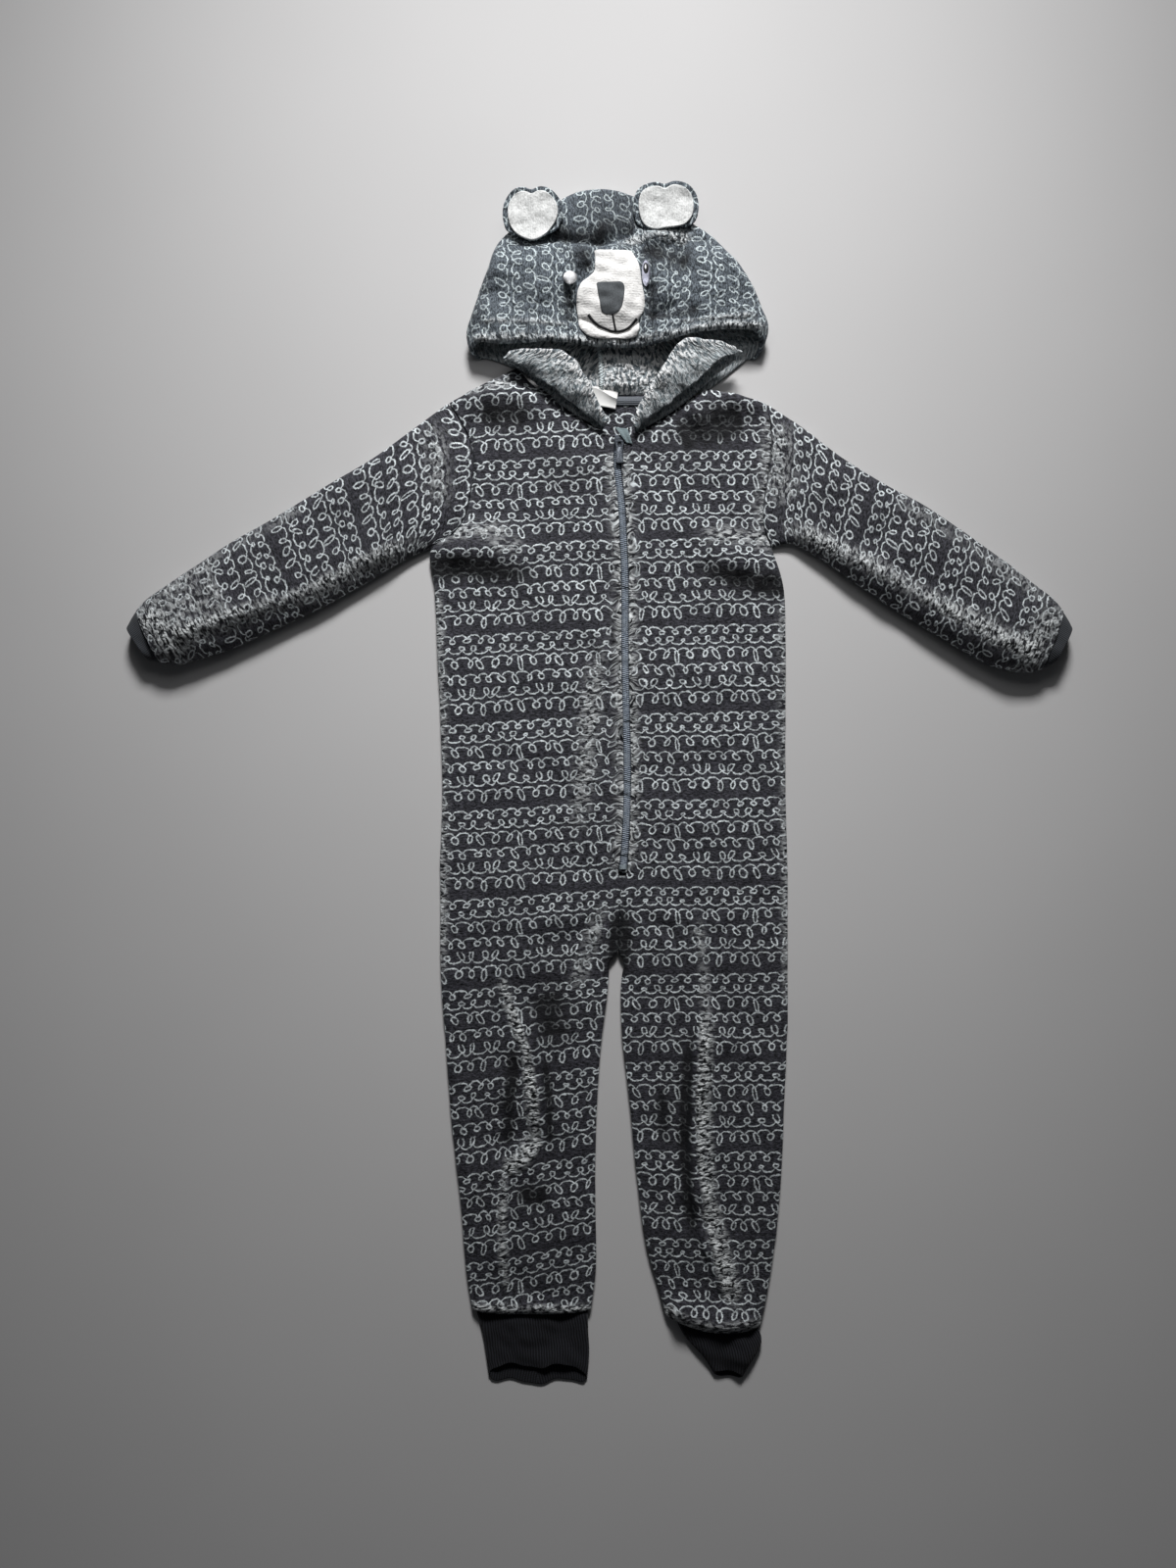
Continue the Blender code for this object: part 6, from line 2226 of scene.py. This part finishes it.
RIGHT_LINING = listed(
    Place,
    (-36.7, 499.7), (-42.4, 509), (-53.6, 513.5), (-59.2, 510.9), (-65, 512.8), (-73, 510.8), (-79, 503),
    (-80.3, 493), (-77, 482.5), (-69.5, 475.8), (-59.2, 472.4), (-49.9, 475.4), (-42.4, 482.9),
    (-37.8, 490.3),
)
LEFT_LINING = listed(
    Place,
    (82.3, 501.6), (80.1, 510.6), (73.7, 516.2), (64.4, 518.4), (56.9, 515.4), (51, 517.4), (43.8, 516.6),
    (37, 512.4), (34.4, 505.3), (34.8, 495.9), (38.4, 487.2), (46, 482.4), (57, 483), (68, 484.2),
    (76, 487), (81, 493.4),
)
EARS = (Ear(Side.RIGHT, Place(-58, 493), RIGHT_LINING), Ear(Side.LEFT, Place(58, 500), LEFT_LINING))


# ------------ neck and zip


@dataclass
class Neck:
    """The tape over the neck seam and the bare folded label sewn in it.

    Args:
        tape_wide: The tape's width.
        inset: How far its edge lies in from the back's neck.
        label: The label's middle.
        label_wide: Its width.
        label_long: Its length as folded.
        label_turn: How far it is turned, in degrees.
        label_fold: How far it stands up at its fold.
    """

    tape_wide: float = 8.0
    inset: float = 1.5
    label: Place = Place(4.5, 341.0)
    label_wide: float = 23.0
    label_long: float = 16.0
    label_turn: float = -9.0
    label_fold: float = 1.1

    def tape(self) -> Sheet:
        """The grey tape along the back's neck.

        Returns:
            Its grid.
        """
        x = np.linspace(-33.0, 64.0, 90)[None, :]
        share = np.linspace(0, 1, 14)[:, None]
        y = across(BACK_NECK, x) - self.inset - self.tape_wide * (1 - share)
        z = FLEECE + SEAM + TAPE / 2 + 1.2 * np.sin(math.pi * share) ** 2 + 0 * x
        x = np.broadcast_to(x, y.shape)
        return Sheet(np.stack([x, y, z], -1), np.stack([y * 0 + share * 8, x], -1), TAPE)

    def folded_label(self) -> Sheet:
        """The label, whose upper layer stops short on a slant over the lower one.

        Returns:
            Its grid.
        """
        low = FLEECE + 2 * SEAM + TAPE + LABEL / 2
        half, end = self.label_long / 2, -self.label_long / 2
        angle = np.linspace(0, math.pi, 12)
        turn_y = end - self.label_fold * np.sin(angle)
        turn_z = low + self.label_fold * (1 - np.cos(angle)) / 2
        x = np.linspace(-self.label_wide / 2, self.label_wide / 2, 34)[None, :]
        slant = half - 2.0 - 6.5 * eased(x, -self.label_wide / 2, self.label_wide / 2)
        share = np.linspace(0, 1, 26)[:, None]
        under = np.broadcast_to(half + (end - half) * share, (26, 34))
        over = end + (slant - end) * share
        y = np.concatenate([under[:-1], np.broadcast_to(turn_y[:, None], (12, 34)), over[1:]])
        lifted = low + self.label_fold + 3.0 * share**2 + 0 * x
        z = np.concatenate([np.full((25, 34), low), np.broadcast_to(turn_z[:, None], (12, 34)), lifted[1:]])
        arch = 1.6 * (1 - (2 * x / self.label_wide) ** 2)
        turn = math.radians(self.label_turn)
        x = np.broadcast_to(x, y.shape)
        at_x = self.label.x + x * math.cos(turn) - y * math.sin(turn)
        at_y = self.label.y + x * math.sin(turn) + y * math.cos(turn)
        return Sheet(np.stack([at_x, at_y, z + arch], -1), np.stack([x, y], -1), LABEL)

    def build(self) -> None:
        """Makes the tape and the label."""
        lay(self.tape(), "sewn_neck_tape", TAPE_GREY, Cut(0.1, 0.0105), "neck_tape")
        lay(self.folded_label(), "bare_label", LABEL_CLOTH, Cut(0.024, 0.032), "neck_label")


@dataclass
class Zip:
    """The zip: two woven tapes, two rows of nylon coil, the slider with its pull, and the ribbon.

    Args:
        right: The front's right half.
        left: The front's left half.
        open_wide: From one front's edge to the other.
        under: How far each tape runs on under its front.
        hinge_y: Where the pull tab is hinged on the slider.
        pitch: From one tooth of the coil to the next.
        tooth: How long a tooth is.
        slider: The slider's width, length and height.
        taper: How much narrower its lower end is.
        post: How wide its post is for its plates.
        bail: The bail's width and length, its bar's thickness and the room under it.
        pull: The pull tab's width, length and thickness.
        pull_top: How wide its hinged end is for its free one.
        eye: The width and length of its eye.
    """

    right: Front
    left: Front
    open_wide: float = 10.0
    under: float = 9.0
    hinge_y: float = 300.5
    pitch: float = 1.7
    tooth: float = 3.1
    slider: tuple[float, float, float] = (8.6, 12.0, 3.2)
    taper: float = 0.26
    post: float = 0.8
    bail: tuple[float, float, float, float] = (2.0, 7.6, 1.0, 2.4)
    pull: tuple[float, float, float] = (6.8, 20.0, 1.3)
    pull_top: float = 0.82
    eye: tuple[float, float] = (3.2, 4.8)

    def shares(self, front: Front, steps: int) -> Array:
        """Shares down a half from the zip's top to its end."""
        return np.linspace(front.share_of_row(ZIP_TOP_ROW), front.share_of_row(ZIP_END_ROW), steps)

    def tape(self, front: Front) -> None:
        """The tape under the inner edge of one half, out to the middle of the zip.

        Args:
            front: The half of the front.
        """
        edge = front.middle(self.shares(front, 150), np.array([1.0]))
        steps = np.linspace(-self.under, self.open_wide / 2 - 0.1, 18)
        inner = front.middle(self.shares(front, 150), np.array([1.0]), self.open_wide / 2)
        way = (inner - edge) * (1, 1, 0)
        way /= np.linalg.norm(way, axis=-1, keepdims=True)
        points = edge + way * steps[None, :, None]
        points[..., 2] = edge[..., 2] - FLEECE / 2 - SEAM - TAPE / 2
        pattern = np.stack([np.broadcast_to(steps, points.shape[:2]), points[..., 1]], -1)
        side, sheet = front.side.word, Sheet(points, pattern, TAPE)
        name = f"zip_tape_{side}"
        lay(sheet, f"woven_{name}", ZIP_WEAVE, Cut(0.0145, 0.385), name)

    def middle(self, y: Array) -> Array:
        """The zip's middle, on the tapes' faces, at distances up the garment.

        Args:
            y: Distances up the garment.

        Returns:
            A place for each.
        """
        edges = []
        for front in (self.right, self.left):
            edge = front.middle(self.shares(front, 300), np.array([1.0]))[:, 0]
            order = np.argsort(edge[:, 1])
            edges.append([np.interp(y, edge[order, 1], edge[order, k]) for k in (0, 2)])
        x = (edges[0][0] + edges[1][0]) / 2
        z = np.maximum(edges[0][1], edges[1][1]) - FLEECE / 2 - SEAM
        return np.stack([x, y, z], -1)

    def coil(self) -> None:
        """Both rows of teeth, which mesh in the middle."""
        y = np.arange(-77.0, self.hinge_y - 8, self.pitch)
        teeth = Stitches(0.62)
        for side in Side:
            at = self.middle(y + side.value * self.pitch / 4)
            middles = at + np.array([side.value * self.tooth * 0.42, 0, 0.55])
            teeth.add(middles, np.tile([self.tooth / 2, 0.25 * side.value, 0.0], (len(y), 1)))
        place_piece(teeth.build("zip_coil"), ZIP_COIL)
        stop = Stitches(0.3)
        end = self.middle(np.array([-79.0]))[0]
        bars = end + np.stack([0 * y[:9], np.linspace(-1.8, 1.8, 9), 0 * y[:9] + 1.1], -1)
        stop.add(bars, np.tile([4.2, 0.0, 0.0], (9, 1)))
        place_piece(stop.build("zip_end_tack"), SEWING_THREAD)

    def _finished(self, item: Piece, name: str, at: Sequence[float]) -> Piece:
        """Names a modelled part, puts its place in its mesh and smooths it.

        Args:
            item: The part.
            name: Its name.
            at: Its place.

        Returns:
            The same part.
        """
        item.name = item.data.name = name
        item.location = Vector(at) * MM
        alone(item)
        bpy.ops.object.transform_apply(location=True, rotation=True, scale=True)
        bpy.ops.object.shade_smooth_by_angle(angle=math.radians(40))
        return item

    def _block(self, size: Sequence[float], at: Sequence[float] = (0, 0, 0)) -> Piece:
        """Adds a box of a size in millimetres, alone selected.

        Args:
            size: Its width, length and height.
            at: Its middle.

        Returns:
            The box.
        """
        bpy.ops.object.select_all(action="DESELECT")
        bpy.ops.mesh.primitive_cube_add(size=1.0, location=Vector(at) * MM)
        bpy.context.object.scale = Vector(size) * MM
        bpy.ops.object.transform_apply(location=True, rotation=True, scale=True)
        return bpy.context.object

    def _select_faces(self, item: Piece, wanted: Callable[[Any], bool]) -> None:
        """In edit mode, selects a part's faces that pass a test, and no others.

        Args:
            item: The part in edit mode.
            wanted: The test.
        """
        bpy.ops.mesh.select_all(action="DESELECT")
        for face in bmesh.from_edit_mesh(item.data).faces:
            if wanted(face):
                face.select_set(True)
        bmesh.update_edit_mesh(item.data)

    def _rounded(self, item: Piece, radius: float, segments: int) -> None:
        """Rounds a part's sharp edges to a radius in millimetres."""
        apply_modifier(item, "BEVEL", width=radius * MM, segments=segments, **SHARP)

    def _slider_body(self) -> Piece:
        """The slider's two plates on their post, narrower at the lower end.

        Returns:
            The part.
        """
        _, long, high = self.slider
        body = self._block(self.slider)
        bpy.ops.object.mode_set(mode="EDIT")
        bpy.ops.mesh.select_all(action="SELECT")
        bpy.ops.mesh.subdivide(number_cuts=5)
        bpy.ops.object.mode_set(mode="OBJECT")
        for vertex in body.data.vertices:
            y, z = vertex.co.y / (long * MM / 2), vertex.co.z / (high * MM / 2)
            narrow = 1 - self.taper * float(eased(np.array(-y), -0.1, 1.0))
            waist = self.post if abs(z) < 0.4 else 1.0
            vertex.co.x *= narrow * waist
            vertex.co.y *= 0.97 if waist < 1 else 1.0
        self._rounded(body, 0.5, 3)
        return body

    def _bail_arch(self) -> Piece:
        """The bail, arched over the slider's upper plate.

        Returns:
            The part.
        """
        bar_wide, bar_long, bar, clear = self.bail
        foot = self.slider[2] / 2 - 0.2
        arch = self._block((bar_wide, bar, bar), (0, -(bar_long - bar) / 2, foot))
        bpy.ops.object.mode_set(mode="EDIT")
        self._select_faces(arch, lambda face: face.normal.z > 0.9)
        centre = Vector((0, 0, foot + bar / 2)) * MM
        bpy.ops.mesh.spin(steps=14, angle=-math.pi, center=centre, axis=(1, 0, 0))
        bpy.ops.object.mode_set(mode="OBJECT")
        flat = (clear + bar) / ((bar_long - bar) / 2 + bar / 2)
        for vertex in arch.data.vertices:
            if vertex.co.z > centre.z:
                vertex.co.z = centre.z + (vertex.co.z - centre.z) * flat
        self._rounded(arch, 0.22, 2)
        return arch

    def build_slider(self, hinge: Array) -> None:
        """Joins the slider's body and its bail, and puts them on the zip.

        Args:
            hinge: The zip's middle under the slider.
        """
        body, arch = self._slider_body(), self._bail_arch()
        alone(body)
        arch.select_set(True)
        bpy.ops.object.join()
        at = (hinge[0], self.hinge_y + CENTRING_Y, hinge[2] + SEAM + self.slider[2] / 2)
        place_piece(self._finished(body, "slider", at), ZIP_METAL, "zip_slider")

    def build_pull(self, hinge: Array) -> None:
        """The pull tab, narrower at its hinged end, with an eye and a sunk face on both sides.

        Args:
            hinge: The zip's middle under the slider.
        """
        _, long, thick = self.pull
        at = (hinge[0], self.hinge_y + CENTRING_Y, hinge[2] + SEAM + self.slider[2] + self.bail[3] / 2)
        plate = self._block(self.pull, (0, thick / 2 - long / 2, 0))
        for vertex in plate.data.vertices:
            if vertex.co.y > 0:
                vertex.co.x *= self.pull_top
        bpy.ops.object.mode_set(mode="EDIT")
        self._select_faces(plate, lambda face: abs(face.normal.z) > 0.9)
        bpy.ops.mesh.inset(thickness=0.9 * MM, depth=-0.18 * MM)
        bpy.ops.object.mode_set(mode="OBJECT")
        hole = self._block((*self.eye, thick * 2), (0, -thick / 2 - self.eye[1] / 2, 0))
        self._rounded(hole, 0.9, 4)
        apply_modifier(plate, "BOOLEAN", operation="DIFFERENCE", object=hole)
        bpy.data.objects.remove(hole)
        self._rounded(plate, 0.12, 2)
        place_piece(self._finished(plate, "pull", at), ZIP_METAL, "zip_pull", PULL)

    def ribbon(self, hinge: Array) -> None:
        """The pale end of the hood's binding, lying over the top of the zip.

        Args:
            hinge: The zip's middle under the slider.
        """
        base = hinge[2] + self.slider[2] + 2 * SEAM
        corners = np.array([(13.5, 313.0), (25.0, 311.5), (29.5, 298.0), (24.0, 299.0)])
        down = np.linspace(0, 1, 34)[:, None, None]
        beside = np.linspace(0, 1, 24)[None, :, None]
        start = corners[0] + (corners[3] - corners[0]) * down
        end = corners[1] + (corners[2] - corners[1]) * down
        plan = start + (end - start) * beside
        arch = 0.8 * np.sin(math.pi * down) + 0.25 * np.sin(math.pi * 3 * beside)
        z = base + TAPE / 2 + arch[..., 0] * np.ones(plan.shape[:2])
        points = np.concatenate([plan, z[..., None]], -1)
        pattern = np.stack([beside[..., 0] * 11 + 0 * z, down[..., 0] * 14 + 0 * z], -1)
        sheet = Sheet(points, pattern, TAPE)
        lay(sheet, "loose_ribbon", RIBBON, Cut(0.0118, 0.0146), "zip_ribbon")

    def build(self) -> None:
        """Makes every part of the zip."""
        self.tape(self.right)
        self.tape(self.left)
        self.coil()
        hinge = self.middle(np.array([self.hinge_y]))[0]
        self.build_slider(hinge)
        self.build_pull(hinge)
        self.ribbon(hinge)


# ------------ studio


class Lamp(NamedTuple):
    """A rectangular light, in metres, watts and the degrees over which it spreads."""

    name: str
    at: tuple[float, float, float]
    toward: tuple[float, float, float]
    size: tuple[float, float]
    power: float
    spread: float = 180.0

    def build(self) -> None:
        """Puts the light in the scene."""
        lamp = bpy.data.objects.new(self.name, bpy.data.lights.new(self.name, "AREA"))
        lamp.data.shape = "RECTANGLE"
        lamp.data.size, lamp.data.size_y = self.size
        lamp.data.energy, lamp.data.spread = self.power, math.radians(self.spread)
        lamp.location = self.at
        lamp.rotation_mode = "QUATERNION"
        lamp.rotation_quaternion = (Vector(self.toward) - lamp.location).to_track_quat("-Z", "Y")
        bpy.context.scene.collection.objects.link(lamp)


@dataclass
class Studio:
    """The floor, the light and the camera, which looks straight down.

    Args:
        eye: Where the camera is, in metres.
        lens: Its focal length.
        lamps: The daylight from one side and what the ceiling gives back.
        fill: How bright the room is from every side.
    """

    eye: tuple[float, float, float] = (-0.0101, 0.0031, 1.07)
    lens: float = 27.36
    lamps: tuple[Lamp, ...] = (
        Lamp("window", (0.05, 1.8, 1.15), (0.0, 0.2, 0.0), (0.5, 0.35), 6.2, 64.0),
        Lamp("ceiling", (0.0, 0.8, 0.8), (0.0, 0.8, 0.0), (0.7, 0.5), 1.2),
    )
    fill: float = 0.03

    def build(self) -> None:
        """Puts them all in the scene."""
        bpy.ops.object.select_all(action="DESELECT")
        bpy.ops.mesh.primitive_plane_add(size=8.0, location=(0, 0, 0))
        floor = bpy.context.object
        floor.name = "floor"
        floor.data.materials.append(FLOOR.material())
        camera = bpy.data.objects.new("camera", bpy.data.cameras.new("camera"))
        camera.location = self.eye
        camera.data.lens, camera.data.sensor_width = self.lens, 36.0
        bpy.context.scene.collection.objects.link(camera)
        bpy.context.scene.camera = camera
        for lamp in self.lamps:
            lamp.build()
        world = bpy.data.worlds.new("room")
        world.use_nodes = True
        sky = world.node_tree.nodes["Background"]
        sky.inputs["Color"].default_value = linear("#e6eaf0")
        sky.inputs["Strength"].default_value = self.fill
        bpy.context.scene.world = world
        bpy.context.scene.view_settings.view_transform = "Standard"


def main() -> None:
    """Builds the garment's sub-assemblies in order, and then the studio."""
    logging.basicConfig(level=logging.INFO, format="%(name)s %(message)s")
    Back().build()
    right = Front(Side.RIGHT, RIGHT_FRONT, RIGHT_FOLDS, RIGHT_NAP_AND_SHADE)
    left = Front(Side.LEFT, LEFT_FRONT, LEFT_FOLDS, LEFT_NAP_AND_SHADE)
    right.build()
    left.build()
    Limbs().build()
    hood = Hood()
    hood.build()
    Face(hood.top).build()
    for ear in EARS:
        ear.build()
    Neck().build()
    Zip(right, left).build()
    Studio().build()


if __name__ == "__main__":
    main()
